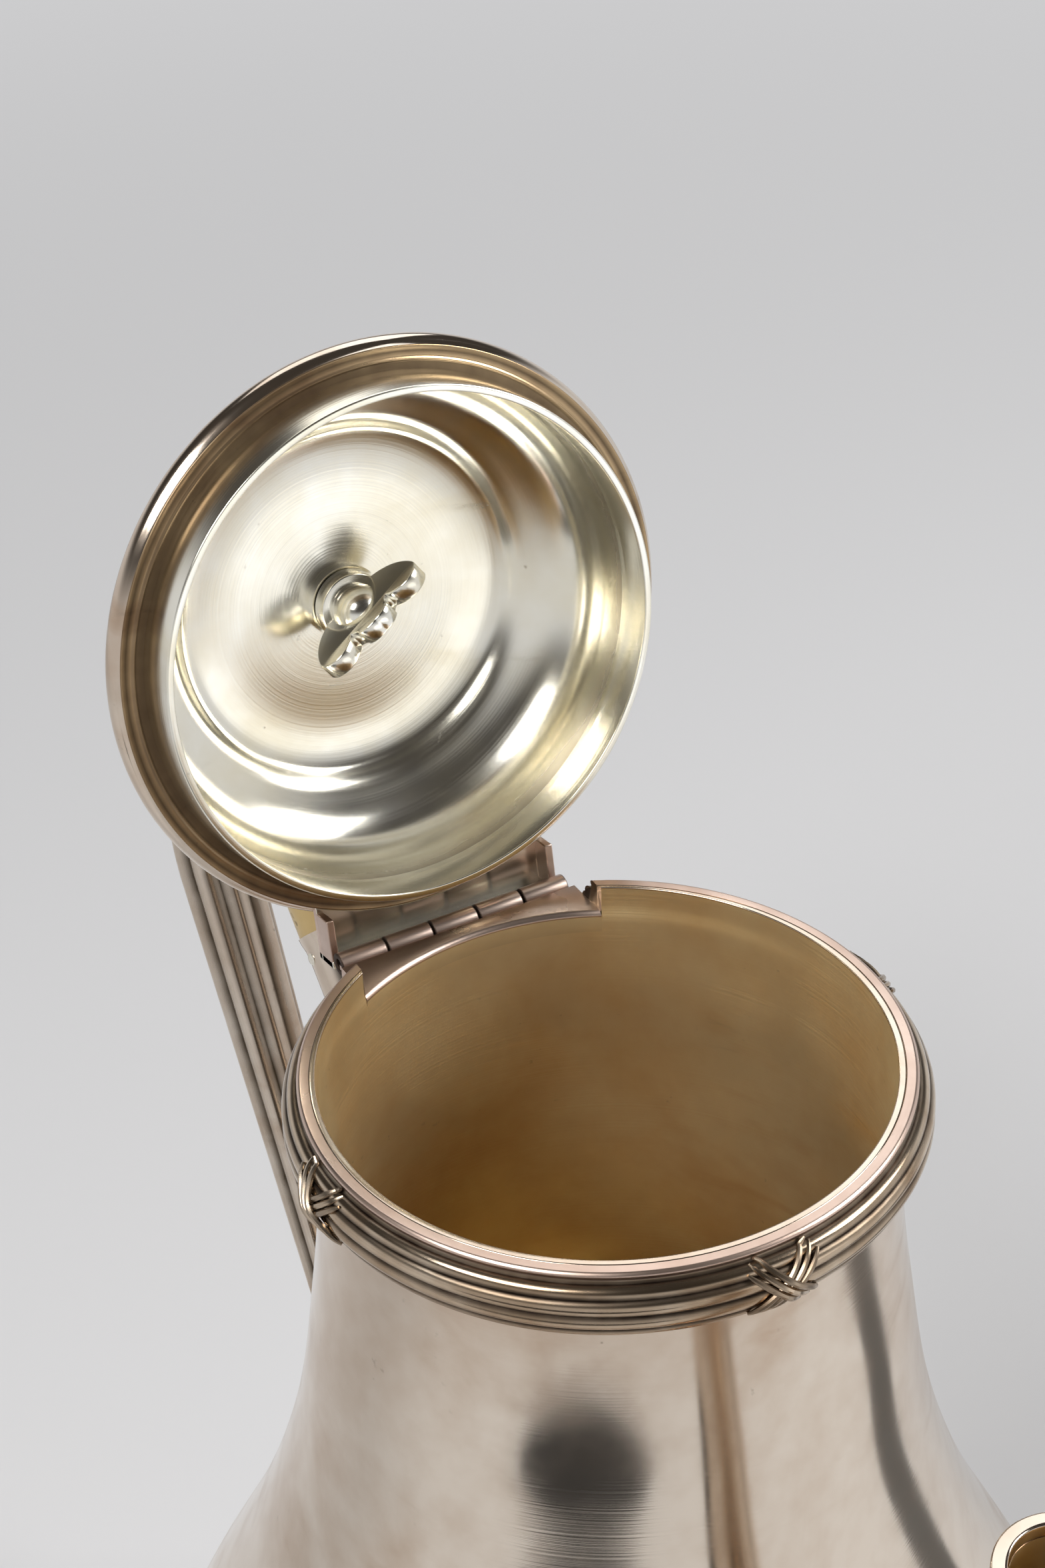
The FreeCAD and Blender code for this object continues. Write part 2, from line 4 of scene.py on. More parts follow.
import bpy
import numpy as np
from mathutils import Matrix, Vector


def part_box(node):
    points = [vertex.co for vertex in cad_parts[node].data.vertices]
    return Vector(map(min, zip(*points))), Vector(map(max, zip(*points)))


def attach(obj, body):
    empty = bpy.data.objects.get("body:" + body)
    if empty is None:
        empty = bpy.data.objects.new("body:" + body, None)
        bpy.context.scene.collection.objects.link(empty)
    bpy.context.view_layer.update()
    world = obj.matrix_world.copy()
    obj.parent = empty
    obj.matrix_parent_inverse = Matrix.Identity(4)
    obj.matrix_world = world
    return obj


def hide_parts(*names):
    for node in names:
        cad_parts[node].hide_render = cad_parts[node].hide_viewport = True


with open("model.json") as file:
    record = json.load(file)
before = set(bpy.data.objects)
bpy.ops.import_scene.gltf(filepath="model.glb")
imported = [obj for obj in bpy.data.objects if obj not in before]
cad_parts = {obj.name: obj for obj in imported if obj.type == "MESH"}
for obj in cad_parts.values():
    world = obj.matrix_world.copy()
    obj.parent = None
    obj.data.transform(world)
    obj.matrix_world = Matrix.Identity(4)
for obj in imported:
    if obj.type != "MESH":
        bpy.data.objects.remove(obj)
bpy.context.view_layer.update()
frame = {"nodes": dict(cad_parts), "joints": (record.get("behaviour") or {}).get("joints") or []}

# A silver coffee pot with its lid open. Sizes are in millimetres from the body's axis until a mesh is made.
MM = 0.001
RIM_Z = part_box("body_shell")[1].z / MM
BASE_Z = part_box("base_plate")[0].z / MM
AXIS_X = sum(corner.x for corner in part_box("base_plate")) / 2 / MM
HINGE_X = frame["joints"][0]["pos_m"][0] / MM - AXIS_X
HINGE_Z = frame["joints"][0]["pos_m"][2] / MM
LID_OPEN = math.radians(frame["joints"][0]["range_deg"][1])
NUT_TURN = math.radians(54.9)

# Body: radius and depth under the rim
MOUTH_R = 36.0
WALL = 1.0
BASE_R = 42.0
BODY_OUTLINE = ((37.0, 12), (37.9, 27), (39.2, 37), (41.8, 54), (46.6, 72), (53.7, 90),
                (62.6, 108), (68.6, 124), (70.5, 139), (67.0, 157), (56.5, 172))
BODY_ROWS = 110
BODY_SIDES = 300
EDGE_ROWS = 8
EDGE_SIDES = 260
EDGE_ROUND = 0.25
NOTCH_HALF = 17.7
NOTCH_DEPTH = 7.0
RELIEF = 0.5
RELIEF_RISE = 0.3

# Hinge in the notch of the rim
BARREL_R = 1.6
BARREL_HALF = 17.2
KNUCKLES = 5
KNUCKLE_GAP = 0.3
PIN_R = 0.8
PIN_SINK = 0.8
LEAF_DEPTH = 3.8
LEAF_CHAMFER = 0.6
SWING_GAP = 0.35
LEAF_OVERLAP = 0.3
PLATE_SAMPLES = 61
LID_LEAF_THICK = 1.1
LID_LEAF_LIFT = 0.1
LID_LEAF_CHAMFER = 0.2
LID_LEAF_CHEEK = 5.5
CHEEK_DEPTH = 2.8
CHEEK_OVERLAP = 0.2
KNUCKLE_ROUND = 0.22
KNUCKLE_SIDES = 40
WORN_EDGE = 0.2

# Reeded bands: seams between the reeds, as radius and depth under the rim or height over the table
COLLAR_SEAMS = ((38.6, 1.5), (39.9, 2.9), (40.3, 5.0), (39.9, 7.2), (38.6, 8.8))
COLLAR_TOP = ((37.0, 0.0), (38.2, 0.0), (38.6, 0.4), (38.3, 1.1))
COLLAR_END = ((37.8, 9.2), (37.0, 9.2))
COLLAR_CROWN = (41.6, 5.1)
# How far the grime and painted shade spread from the collar's seams.
COLLAR_GRIME_AND_SHADE_WIDTH = 0.52
FOOT_SEAMS = ((48.2, 6.4), (50.0, 4.6), (50.8, 2.4), (50.4, 0.4))
FOOT_CROWN = (52.1, 3.0)
FOOT_R = 46.8
FOOT_TOE_R = 50.1
FOOT_WALL = 2.0
FOOT_BORE_R = 37.5
FOOT_OUTSIDE = ((41.5, BASE_Z), (43.4, 8.0), (FOOT_R, 6.4))
FOOT_INSIDE = ((FOOT_R - FOOT_WALL, 5.4), (41.8, 7.0), (39.5, 10.8))
REED_RISE = 0.24
REED_POINTS = 14

# Ribbons tied crosswise over the reeds, three strands to a band
RIBBON_LIFT = 0.6
RIBBON_TILT = math.radians(40)
RIBBON_SAMPLES = 41
STRAND_R = 0.44
STRAND_PITCH = 0.92
STRAND_SINK = 0.35
STRAND_TAPER = 0.55
CROSSING_LIFT = 0.55
CROSSING_REACH = 2.2
NECK_TIES = (-90, 0, 90)
FOOT_TIES = (0, 90, 180, 270)

# Lid, closed: radius and height over the rim
BEZEL_R = 35.3
BEZEL_END_R = 34.8
BEZEL_DEPTH = 6.0
LID_SEAM = 1.0
SEAT = 0.3
SEAT_STEP = 0.55
SEAT_RIDGE_R = 36.6
SEAT_ROUND = 0.16
# How far the grime and painted shade spread from the seat's grooves.
SEAT_GRIME_AND_SHADE_WIDTH = 0.3
LID_RIM_TOP = 4.6
LID_LIP_R = 38.4
LID_LIP_WIDE = 0.7
LID_BEAD = ((38.7, 0.9), (39.5, 2.4), (37.9, 4.2))
SEAT_FLATS = ((BEZEL_R, SEAT_STEP), (SEAT_RIDGE_R - 0.25, SEAT_STEP), (SEAT_RIDGE_R, SEAT),
              (SEAT_RIDGE_R + 0.35, SEAT_STEP), (LID_LIP_R - LID_LIP_WIDE, SEAT_STEP - 0.05),
              (LID_LIP_R, SEAT), LID_BEAD[0])
SEAT_GROOVES = ((BEZEL_R, SEAT_STEP), (SEAT_RIDGE_R - 0.3, SEAT_STEP), (LID_LIP_R - LID_LIP_WIDE, SEAT_STEP))
LID_SIDES = 260
LID_SHOULDER_R = 37.2
DOME_TOP = 18.0
DOME_OUTLINE = ((12.0, 18.0), (22.6, 17.3), (24.7, 16.4), (26.0, 15.2), (27.8, 14.3), (30.7, 12.9),
                (33.9, 9.6), (35.3, 4.6))
DOME_ROWS = 90
STUD_BORE = 2.2
STUD_R = 1.9
STUD_LOW = 8.8
NUT_SEAT = 15.2
NUT_COLLAR = ((4.9, 0.0), (4.7, 2.0), (3.4, 2.2))
NUT_BALL = ((3.4, 2.2), (3.6, 3.6), (0.05, 7.0))
WING_THICK = 2.6
WING_LOW = 5.0
WING_ARCS = (((0, 0), (1.9, 0.25), (2.7, 0.9)), ((2.7, 0.9), (3.0, 1.8), (3.5, 2.2)),
             ((3.5, 2.2), (4.2, 1.4), (5.0, 0.9)), ((5.0, 0.9), (7.2, 0.5), (8.3, 1.0)),
             ((8.3, 1.0), (9.1, 1.9), (9.2, 3.0)), ((9.2, 3.0), (7.9, 5.8), (3.4, 8.6)))
WING_EDGE = ((-0.50, 0.22), (-0.48, 0.10), (-0.42, 0.0), (0.42, 0.0), (0.48, 0.10), (0.50, 0.22))
NUT_ROUND = 0.2

# Finial on its turned foot: radius and height over the rim
FINIAL_FOOT = ((9.0, 18.0), (9.0, 19.0))
FINIAL_COVE = ((9.0, 19.0), (5.6, 20.0), (4.2, 22.0))
FINIAL_NECK = ((4.2, 22.0), (5.0, 22.7), (4.2, 23.4))
FINIAL_OUTLINE = ((4.0, 23.4), (8.0, 30.5), (5.0, 39.5), (0.05, 46.5))
FINIAL_LOBES = 8
LOBE_CUT = 0.07
LOBE_RISE = 10.0
STUD_TIP = ((0.6, STUD_LOW), (1.5, STUD_LOW + 0.6), (STUD_R, STUD_LOW + 1.7))
AXIS_R = 0.05

# Spout: distance from the axis, depth under the rim, and half sizes across
SPOUT_LINE = ((54, 128, 17.0, 14.0), (70, 112, 14.2, 12.2), (80, 88, 11.6, 10.4), (84, 58, 9.8, 9.0),
              (88, 30, 9.2, 8.2), (95.5, 4.4, 10.2, 8.2))
SPOUT_LEAVES = (0.85, 0.5, -0.15, -0.1)
SPOUT_ENDS = (0.35, 1, 0.05, 0)
SPOUT_LEVEL = 0.78
SPOUT_STATIONS = 160
SPOUT_ROWS = 90
SPOUT_SIDES = 96
SPOUT_WALL = 1.1
SPOUT_LIP = 1.8
SPOUT_LIP_OUT = 0.8
SPOUT_LIP_ROUND = 0.4
SPOUT_LIP_SEAM = 0.6

# Handle: half sizes in its plane and across it, and its turns in degrees
SOCKET_HALF = (5.6, 6.4)
GRIP_HALF = (5.8, 6.8)
GRIP_LOW_HALF = (4.6, 5.2)
SOCKET_END = (-77.5, -28.0)
SOCKET_RUN = 26.0
SOCKET_BEND = 20.0
RISE = 135.0
INSULATOR = 6.0
LOOP_RUN = 8.0
LOOP_BEND = 23.5
LOOP_TURN = 163.3
SHAFT = 72.9
LOW_BEND = 12.0
UPPER_ROOT = 4.0
LOWER_SOCKET = 6.0
SOCKET_SWELL = 0.08
SWELL_STATIONS = 1.6
TAPER_FROM = 78
TAPER_OVER = 59
BONE_SHARE = 0.985
HANDLE_SIDES = 96
HANDLE_REEDS = 8
REED_CUT = 0.16
# A little grime over the whole grip, under the painted shade in the reeds' valleys.
REED_GRIME_AND_SHADE = 0.12
PIN_SET = 3.4
PIN_SIDES = 24
PIN_HEAD = ((0.25, 0.32), (0.7, 0.24), (1.0, 0.0), (1.0, -1.5))

# Camera: where it stands in the frame, in metres, how it is turned, and its lens on a 36 mm high film
CAMERA_AZIMUTH = -0.522126
CAMERA_HEIGHT = 0.682190
CAMERA_REACH = 0.37940
CAMERA_YAW = -0.025940
CAMERA_PITCH = -0.090684
CAMERA_ROLL = 0.017769
FILM = 36.0
LENS = 69.99

# Stage, in metres: the floor's half width, where it passes into the background, and the background's tone
FLOOR_HALF = 9
FADE = (0.35, 1.3)
PALE = (0.67, 0.67, 0.68, 1.0)


# Curves

def unit(vector):
    """A vector, or each row of an array of them, divided by its length."""
    vector = np.asarray(vector, float)
    return vector / np.linalg.norm(vector, axis=-1, keepdims=True)


def spline(points, start, end, count):
    """A cubic through the points, spaced by chord length, that leaves along start and arrives along end."""
    p = np.asarray(points, float)
    h = np.linalg.norm(np.diff(p, axis=0), axis=1)
    slope = np.diff(p, axis=0) / h[:, None]
    ends = np.vstack([unit(start), slope, unit(end)])
    left, right = np.append(0, h), np.append(h, 0)
    matrix = np.diag(2 * (left + right)) + np.diag(h, 1) + np.diag(h, -1)
    bend = np.linalg.solve(matrix, 6 * np.diff(ends, axis=0))
    knots = np.append(0, np.cumsum(h))
    at = np.linspace(0, knots[-1], count)
    k = np.clip(np.searchsorted(knots, at, side="right") - 1, 0, len(h) - 1)
    u, step = (at - knots[k])[:, None], h[k][:, None]
    a, b = bend[k], bend[k + 1]
    return p[k] + u * (slope[k] - step * (2 * a + b) / 6) + u ** 2 * a / 2 + u ** 3 * (b - a) / (6 * step)


def arc(start, middle, end, count=12):
    """Points on the circle through three points, from the first to the last."""
    a, b, c = (np.asarray(v, float) for v in (start, middle, end))
    matrix = 2 * np.array([b - a, c - a])
    centre = np.linalg.solve(matrix, [b @ b - a @ a, c @ c - a @ a])
    angle = [math.atan2(*(v - centre)[::-1]) for v in (a, b, c)]
    turn = (angle[2] - angle[0]) % (2 * math.pi)
    if (angle[1] - angle[0]) % (2 * math.pi) > turn:
        turn -= 2 * math.pi
    at = angle[0] + turn * np.linspace(0, 1, count)
    return centre + np.linalg.norm(a - centre) * np.stack([np.cos(at), np.sin(at)], 1)


def rounded(points, radius, count=5):
    """A polyline with each inner corner replaced by a parabola that starts and ends a radius away."""
    p = np.asarray(points, float)
    t = np.linspace(0, 1, count)[:, None]
    out = [p[:1]]
    for before, corner, after in zip(p, p[1:], p[2:]):
        reach = min(radius, 0.45 * np.linalg.norm(before - corner), 0.45 * np.linalg.norm(after - corner))
        a, b = corner + unit(before - corner) * reach, corner + unit(after - corner) * reach
        out.append((1 - t) ** 2 * a + 2 * t * (1 - t) * corner + t ** 2 * b)
    return np.vstack(out + [p[-1:]])


def reeds(seams):
    """Arcs from seam to seam, each standing off its chord by a share of it."""
    p = np.asarray(seams, float)
    chord = np.diff(p, axis=0)
    side = np.stack([-chord[:, 1], chord[:, 0]], 1)
    side *= np.sign(side[:, :1])
    tops = (p[:-1] + p[1:]) / 2 + side * REED_RISE
    return np.vstack([arc(a, m, b, REED_POINTS) for a, m, b in zip(p, tops, p[1:])])


def under_rim(points):
    """Radius and depth to radius and height over the table."""
    return np.asarray(points, float) * (1, -1) + (0, RIM_Z)


def over_rim(points):
    """Radius and height over the rim to radius and height over the table."""
    return np.asarray(points, float) + (0, RIM_Z)


def offset(curve, distance):
    """A plane curve moved sideways, to the right of its direction."""
    way = unit(np.gradient(curve, axis=0))
    return curve + distance * np.stack([way[:, 1], -way[:, 0]], 1)


# Meshes

class Shell:
    """Vertices with an amount of grime and painted shade and a way along the profile, and faces with a material and
    a part number.

    Each grid with its caps is one closed part."""

    def __init__(self):
        self.points, self.soil, self.course = [], [], []
        self.faces, self.marks, self.part = [], [], []
        self.count = 0

    def grid(self, points, soil=0.0, wrap=(False, False), mark=0, course=0.0):
        """Four-sided faces over a grid of points; wrap joins its last row or column to the first."""
        rows, columns = points.shape[:2]
        index = self.count + np.arange(rows * columns).reshape(rows, columns)
        if wrap[0]:
            index = np.vstack([index, index[:1]])
        if wrap[1]:
            index = np.hstack([index, index[:, :1]])
        corners = index[:-1, :-1], index[:-1, 1:], index[1:, 1:], index[1:, :-1]
        quads = np.stack(corners, -1).reshape(-1, 4)
        self.points.append(points.reshape(-1, 3))
        self.faces += quads.tolist()
        self.part += [len(self.points) - 1] * len(quads)
        self.soil.append(np.broadcast_to(soil, (rows, columns)).reshape(-1))
        self.course.append(np.broadcast_to(course, (rows, columns)).reshape(-1))
        self.marks += [mark] * len(quads) if np.isscalar(mark) else list(mark)
        self.count += rows * columns
        return index

    def cap(self, ring, mark=0):
        """One face over a ring of vertices."""
        self.faces.append([int(i) for i in ring])
        self.part.append(len(self.points) - 1)
        self.marks.append(mark)

    def ends(self, index):
        """Closes a tube at its first and last ring."""
        self.cap(index[0, :-1][::-1])
        self.cap(index[-1, :-1])

    def outward(self):
        """The faces, with those of each closed part turned round where its signed volume is negative."""
        points, part = np.vstack(self.points), np.array(self.part)
        middle = np.stack([p.mean(0) for p in self.points])
        wide = np.array([len(f) == 4 for f in self.faces])
        first = np.array([f[:3] for f in self.faces])
        second = np.array([(f[0], f[2], f[3]) for f in self.faces if len(f) == 4])
        triangles, owner = np.vstack([first, second]), np.append(part, part[wide])
        a, b, c = (points[triangles[:, i]] - middle[owner] for i in range(3))
        volume = np.bincount(owner, np.einsum("ij,ij->i", a, np.cross(b, c)))
        return [f[::-1] if volume[p] < 0 else f for f, p in zip(self.faces, self.part)]


def make(name, shell, body, materials, replaces=(), crease=35):
    """A mesh object from a shell, with its faces outwards, riding on a body."""
    points = np.vstack(shell.points)
    mesh = bpy.data.meshes.new(name)
    faces = shell.outward()
    mesh.from_pydata(((points + (AXIS_X, 0, 0)) * MM).tolist(), [], faces)
    # Per-vertex amount of darkening: partly grime, partly painted shade in seams, grooves and creases.
    soil = mesh.attributes.new("soil", "FLOAT", "POINT")
    soil.data.foreach_set("value", np.concatenate(shell.soil).astype(np.float32))
    course = mesh.attributes.new("course", "FLOAT", "POINT")
    course.data.foreach_set("value", np.concatenate(shell.course).astype(np.float32))
    for material in materials:
        mesh.materials.append(material)
    mesh.polygons.foreach_set("material_index", np.array(shell.marks, np.int32))
    mesh.polygons.foreach_set("use_smooth", np.ones(len(faces), bool))
    mesh.set_sharp_from_angle(angle=math.radians(crease))
    mesh.update()
    piece = bpy.data.objects.new(name, mesh)
    bpy.context.scene.collection.objects.link(piece)
    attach(piece, body)
    if replaces:
        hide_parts(*replaces)
    return piece


def turned(profile, angles):
    """A profile of radius and height carried round the pot's axis; angles may differ from row to row."""
    angles = np.broadcast_to(angles, (len(profile), np.shape(angles)[-1]))
    radius, height = profile[:, :1], np.broadcast_to(profile[:, 1:], angles.shape)
    return np.stack([radius * np.cos(angles), radius * np.sin(angles), height], -1)


def course_of(profile):
    """The way along a profile at each of its points, as one column."""
    return np.append(0, np.cumsum(np.linalg.norm(np.diff(profile, axis=0), axis=1)))[:, None]


def full_circle(count):
    """Angles right round, from behind the pot."""
    return np.linspace(-math.pi, math.pi, count, endpoint=False)


def ring(profile, count=240, soil=0.0, mark=0, shell=None):
    """A closed profile turned right round."""
    shell = shell or Shell()
    soil = np.broadcast_to(np.reshape(soil, (-1, 1)), (len(profile), count))
    if not np.isscalar(mark):
        mark = np.repeat(mark, count)
    shell.grid(turned(profile, full_circle(count)), soil, (True, True), mark, course_of(profile))
    return shell


def notched(profile, count=240, soil=0.0, shell=None, mark=0):
    """A closed profile turned round from one side of the hinge's notch to the other, with flat ends."""
    shell = shell or Shell()
    half = math.pi - np.arcsin(NOTCH_HALF / profile[:, :1])
    angles = half * np.linspace(-1, 1, count)
    soil = np.broadcast_to(np.reshape(soil, (-1, 1)), (len(profile), count))
    if not np.isscalar(mark):
        mark = np.repeat(mark, count - 1)
    index = shell.grid(turned(profile, angles), soil, (True, False), mark, course_of(profile))
    shell.cap(index[:-1, 0])
    shell.cap(index[:-1, -1][::-1])
    return shell


def opened(shell):
    """Swings a lid piece, described closed, about the hinge to its open pose."""
    for i, points in enumerate(shell.points):
        x, z = points[:, 0] - HINGE_X, points[:, 2] - HINGE_Z
        points = points.copy()
        points[:, 0] = HINGE_X + x * math.cos(LID_OPEN) - z * math.sin(LID_OPEN)
        points[:, 2] = HINGE_Z + x * math.sin(LID_OPEN) + z * math.cos(LID_OPEN)
        shell.points[i] = points
    return shell


def tube(shell, path, normal, radius, sides=10, soil=0.0):
    """A round tube along a path; normal points away from what it lies on."""
    way = unit(np.gradient(path, axis=0))
    across = unit(np.cross(way, normal))
    normal = np.cross(across, way)
    at = np.linspace(0, 2 * math.pi, sides, endpoint=False)[None, :, None]
    radius = np.broadcast_to(radius, len(path))[:, None, None]
    points = path[:, None] + radius * (np.cos(at) * across[:, None] + np.sin(at) * normal[:, None])
    shell.ends(shell.grid(points, soil, (False, True)))


# Shader maths

class Value:
    """A socket that can be added, multiplied and so on; each sum is a Math node."""

    def __init__(self, sheet, socket):
        self.sheet, self.socket = sheet, socket

    def maths(self, operation, a, b=0.0, clamp=False):
        return self.sheet.add("ShaderNodeMath", {"operation": operation, "use_clamp": clamp}, {0: a, 1: b})

    def __add__(self, other):
        return self.maths("ADD", self, other)

    def __sub__(self, other):
        return self.maths("SUBTRACT", self, other)

    def __rsub__(self, other):
        return self.maths("SUBTRACT", other, self)

    def __mul__(self, other):
        return self.maths("MULTIPLY", self, other)

    __radd__, __rmul__ = __add__, __mul__

    def clamp(self):
        return self.maths("ADD", self, 0.0, True)

    def between(self, low, high):
        """0 below low, 1 above high, and smooth in between."""
        return self.sheet.add("ShaderNodeMapRange", {"interpolation_type": "SMOOTHSTEP"},
                              {"Value": self, "From Min": low, "From Max": high})


class Sheet:
    """The node tree of a material or of the world."""

    def __init__(self, owner, shader="Principled BSDF"):
        owner.use_nodes = True
        self.material = owner
        self.tree = owner.node_tree
        self.shader = self.tree.nodes[shader]

    def add(self, kind, settings, inputs, out=0):
        """A node of a type, with its settings and the values or links of its sockets."""
        node = self.tree.nodes.new(kind)
        for name, value in settings.items():
            setattr(node, name, value)
        for name, value in inputs.items():
            self.feed(node.inputs[name], value)
        return Value(self, node.outputs[out])

    def feed(self, socket, value):
        if isinstance(value, Value):
            self.tree.links.new(value.socket, socket)
        else:
            socket.default_value = value

    def set(self, **inputs):
        for name, value in inputs.items():
            self.feed(self.shader.inputs[name.replace("_", " ")], value)

    def place(self, stretch=(1, 1, 1)):
        """Object coordinates, stretched."""
        point = self.add("ShaderNodeTexCoord", {}, {}, "Object")
        return self.add("ShaderNodeMapping", {}, {"Vector": point, "Scale": stretch})

    def noise(self, scale, detail=3.0, stretch=(1, 1, 1), twist=0.0):
        """Clouded noise in the piece's own space."""
        return self.add("ShaderNodeTexNoise", {}, {"Vector": self.place(stretch), "Scale": scale,
                                                   "Detail": detail, "Distortion": twist})

    def attribute(self, name):
        return self.add("ShaderNodeAttribute", {"attribute_name": name}, {}, "Fac")

    def rings(self, scale, detail=3.0):
        """Noise that changes only along the profile, so that it draws fine lines round a turned piece."""
        return self.add("ShaderNodeTexNoise", {"noise_dimensions": "1D"},
                        {"W": self.attribute("course") * scale, "Scale": 1.0, "Detail": detail})

    def mix(self, factor, a, b):
        return self.add("ShaderNodeMix", {"data_type": "RGBA"}, {0: factor, 6: a, 7: b}, 2)

    def bump(self, height, strength, distance):
        return self.add("ShaderNodeBump", {}, {"Height": height, "Strength": strength, "Distance": distance})


def rgb(red, green, blue):
    return (red, green, blue, 1.0)


# Finishes

def silver(name, fresh, stain, dirt_and_shade_tone, amount, rough, lines, metal=1.0):
    """Old silver: warm stains in broad clouds, grime and painted shade in the seams, fine lines round a turned
    piece, dark specks.
    """
    sheet = Sheet(bpy.data.materials.new(name))
    cloud = sheet.noise(30.0, 6.0, twist=0.8).between(0.34, 0.68)
    smear = sheet.noise(22.0, 5.0, (1.0, 1.0, 2.6), 1.2).between(0.56, 0.74)
    fine = sheet.noise(230.0, 4.0)
    hairs = sheet.rings(2.6, 4.0) * sheet.noise(45.0, 2.0).between(0.35, 0.65)
    specks = sheet.noise(520.0, 3.0).between(0.70, 0.78)
    streaks = sheet.noise(70.0, 4.0, (1.0, 1.0, 5.0)).between(0.60, 0.74)
    polish = lines * (hairs - 0.25)
    warm = (cloud * amount + smear * (0.7 * amount) + (fine - 0.5) * amount + polish).clamp()
    # Painted shade: the per-vertex amount darkens seams, grooves and creases towards the dark tone, partly as
    # grime; the specks and streaks are dirt.
    seams = sheet.attribute("soil") * (0.7 + 0.5 * fine)
    dark = (seams + 0.35 * specks * cloud + 0.30 * streaks * smear).clamp()
    colour = sheet.mix(dark, sheet.mix(warm, fresh, stain), dirt_and_shade_tone)
    roughness = (rough + 0.12 * warm + 0.30 * dark + polish).clamp()
    sheet.set(Base_Color=colour, Metallic=metal, Roughness=roughness,
              Normal=sheet.bump(hairs + 0.3 * fine, 0.5 * lines, 0.0002))
    return sheet.material


def bone(name):
    """Yellowed bone: long grain, small dark pores and a soft polish."""
    sheet = Sheet(bpy.data.materials.new(name))
    grain = sheet.noise(90.0, 4.0, (1.0, 6.0, 1.0))
    pores = sheet.noise(700.0, 2.0).between(0.64, 0.72)
    colour = sheet.mix(grain, rgb(0.42, 0.27, 0.10), rgb(0.60, 0.46, 0.22))
    colour = sheet.mix(0.6 * pores, colour, rgb(0.10, 0.06, 0.03))
    sheet.set(Base_Color=colour, Roughness=0.28 + 0.3 * pores, Normal=sheet.bump(grain, 0.15, 0.0003))
    return sheet.material


POLISHED = silver("polished_silver", rgb(0.77, 0.68, 0.58), rgb(0.53, 0.39, 0.28), rgb(0.08, 0.06, 0.04),
                  amount=0.62, rough=0.10, lines=0.05)
# A darker copy of the silver for the reeded bands and ribbons: partly tarnish, partly painted shade standing for
# the reeds' dark reflections.
REEDED_TARNISH_AND_SHADE = silver("reeded_silver", rgb(0.70, 0.59, 0.46), rgb(0.38, 0.26, 0.16), rgb(0.03, 0.02, 0.015),
                amount=0.80, rough=0.10, lines=0.06)
COPPERY = silver("coppery_silver", rgb(0.76, 0.60, 0.51), rgb(0.54, 0.38, 0.30), rgb(0.06, 0.04, 0.03),
                 amount=0.60, rough=0.26, lines=0.10)
BRONZED = silver("bronzed_seat", rgb(0.43, 0.31, 0.18), rgb(0.22, 0.14, 0.08), rgb(0.05, 0.035, 0.025),
                 amount=0.80, rough=0.26, lines=0.16)
CHAMPAGNE = silver("champagne_silver", rgb(0.95, 0.93, 0.85), rgb(0.80, 0.70, 0.46), rgb(0.20, 0.13, 0.07),
                   amount=0.36, rough=0.17, lines=0.10)
GILT = silver("stained_inside", rgb(0.95, 0.79, 0.48), rgb(0.74, 0.48, 0.20), rgb(0.06, 0.04, 0.02),
              amount=0.52, rough=0.36, lines=0.30, metal=0.75)
BONE = bone("yellow_bone")


# Body

def body_outside(count):
    """The body's outline from under the collar to the edge of its base, straight down at the top."""
    points = np.vstack([under_rim(BODY_OUTLINE), [(BASE_R, BASE_Z)]])
    return spline(points, (0, -1), (-1, 0), count)


def body_radius(height):
    """The body's outside radius at a height, from its outline."""
    curve = body_outside(400)
    return np.interp(-height, -curve[:, 1], curve[:, 0])


def build_body():
    """Outside and inside walls below the notch, and the notched edge of the mouth above it.

    The inside of the edge is filed back towards the hinge, so that the lid's band swings clear."""
    outer = body_outside(BODY_ROWS)
    inner = offset(outer, WALL)
    neck = under_rim([(MOUTH_R + WALL, NOTCH_DEPTH)])
    throat = under_rim([(MOUTH_R, NOTCH_DEPTH)])
    profile = np.vstack([neck, outer, inner[::-1], throat])
    shell = ring(profile, BODY_SIDES, 0.0, [0] * (BODY_ROWS + 1) + [1] * BODY_ROWS + [0])
    edge = rounded(under_rim([(MOUTH_R, NOTCH_DEPTH), (MOUTH_R, 0), (MOUTH_R + WALL, 0),
                              (MOUTH_R + WALL, NOTCH_DEPTH)]), EDGE_ROUND)
    wall = np.linspace(edge[0], edge[1], EDGE_ROWS + 1)
    edge = np.vstack([wall[:-1], edge[1:]])
    notched(edge, EDGE_SIDES, 0.0, shell, [1] * EDGE_ROWS + [0] * (len(edge) - EDGE_ROWS))
    filed = shell.points[-1]
    rise = np.clip((filed[:, 2] - HINGE_Z) / (RELIEF_RISE * (RIM_Z - HINGE_Z)), 0, 1)
    radius = np.hypot(filed[:, 0], filed[:, 1])
    share = np.clip(MOUTH_R + WALL - radius, 0, 1) * np.clip(-filed[:, 0] / radius, 0, 1) * rise
    filed[:, :2] *= (1 + RELIEF * share / radius)[:, None]
    return make("body_wall", shell, "pot", (POLISHED, GILT), ("body_shell",))


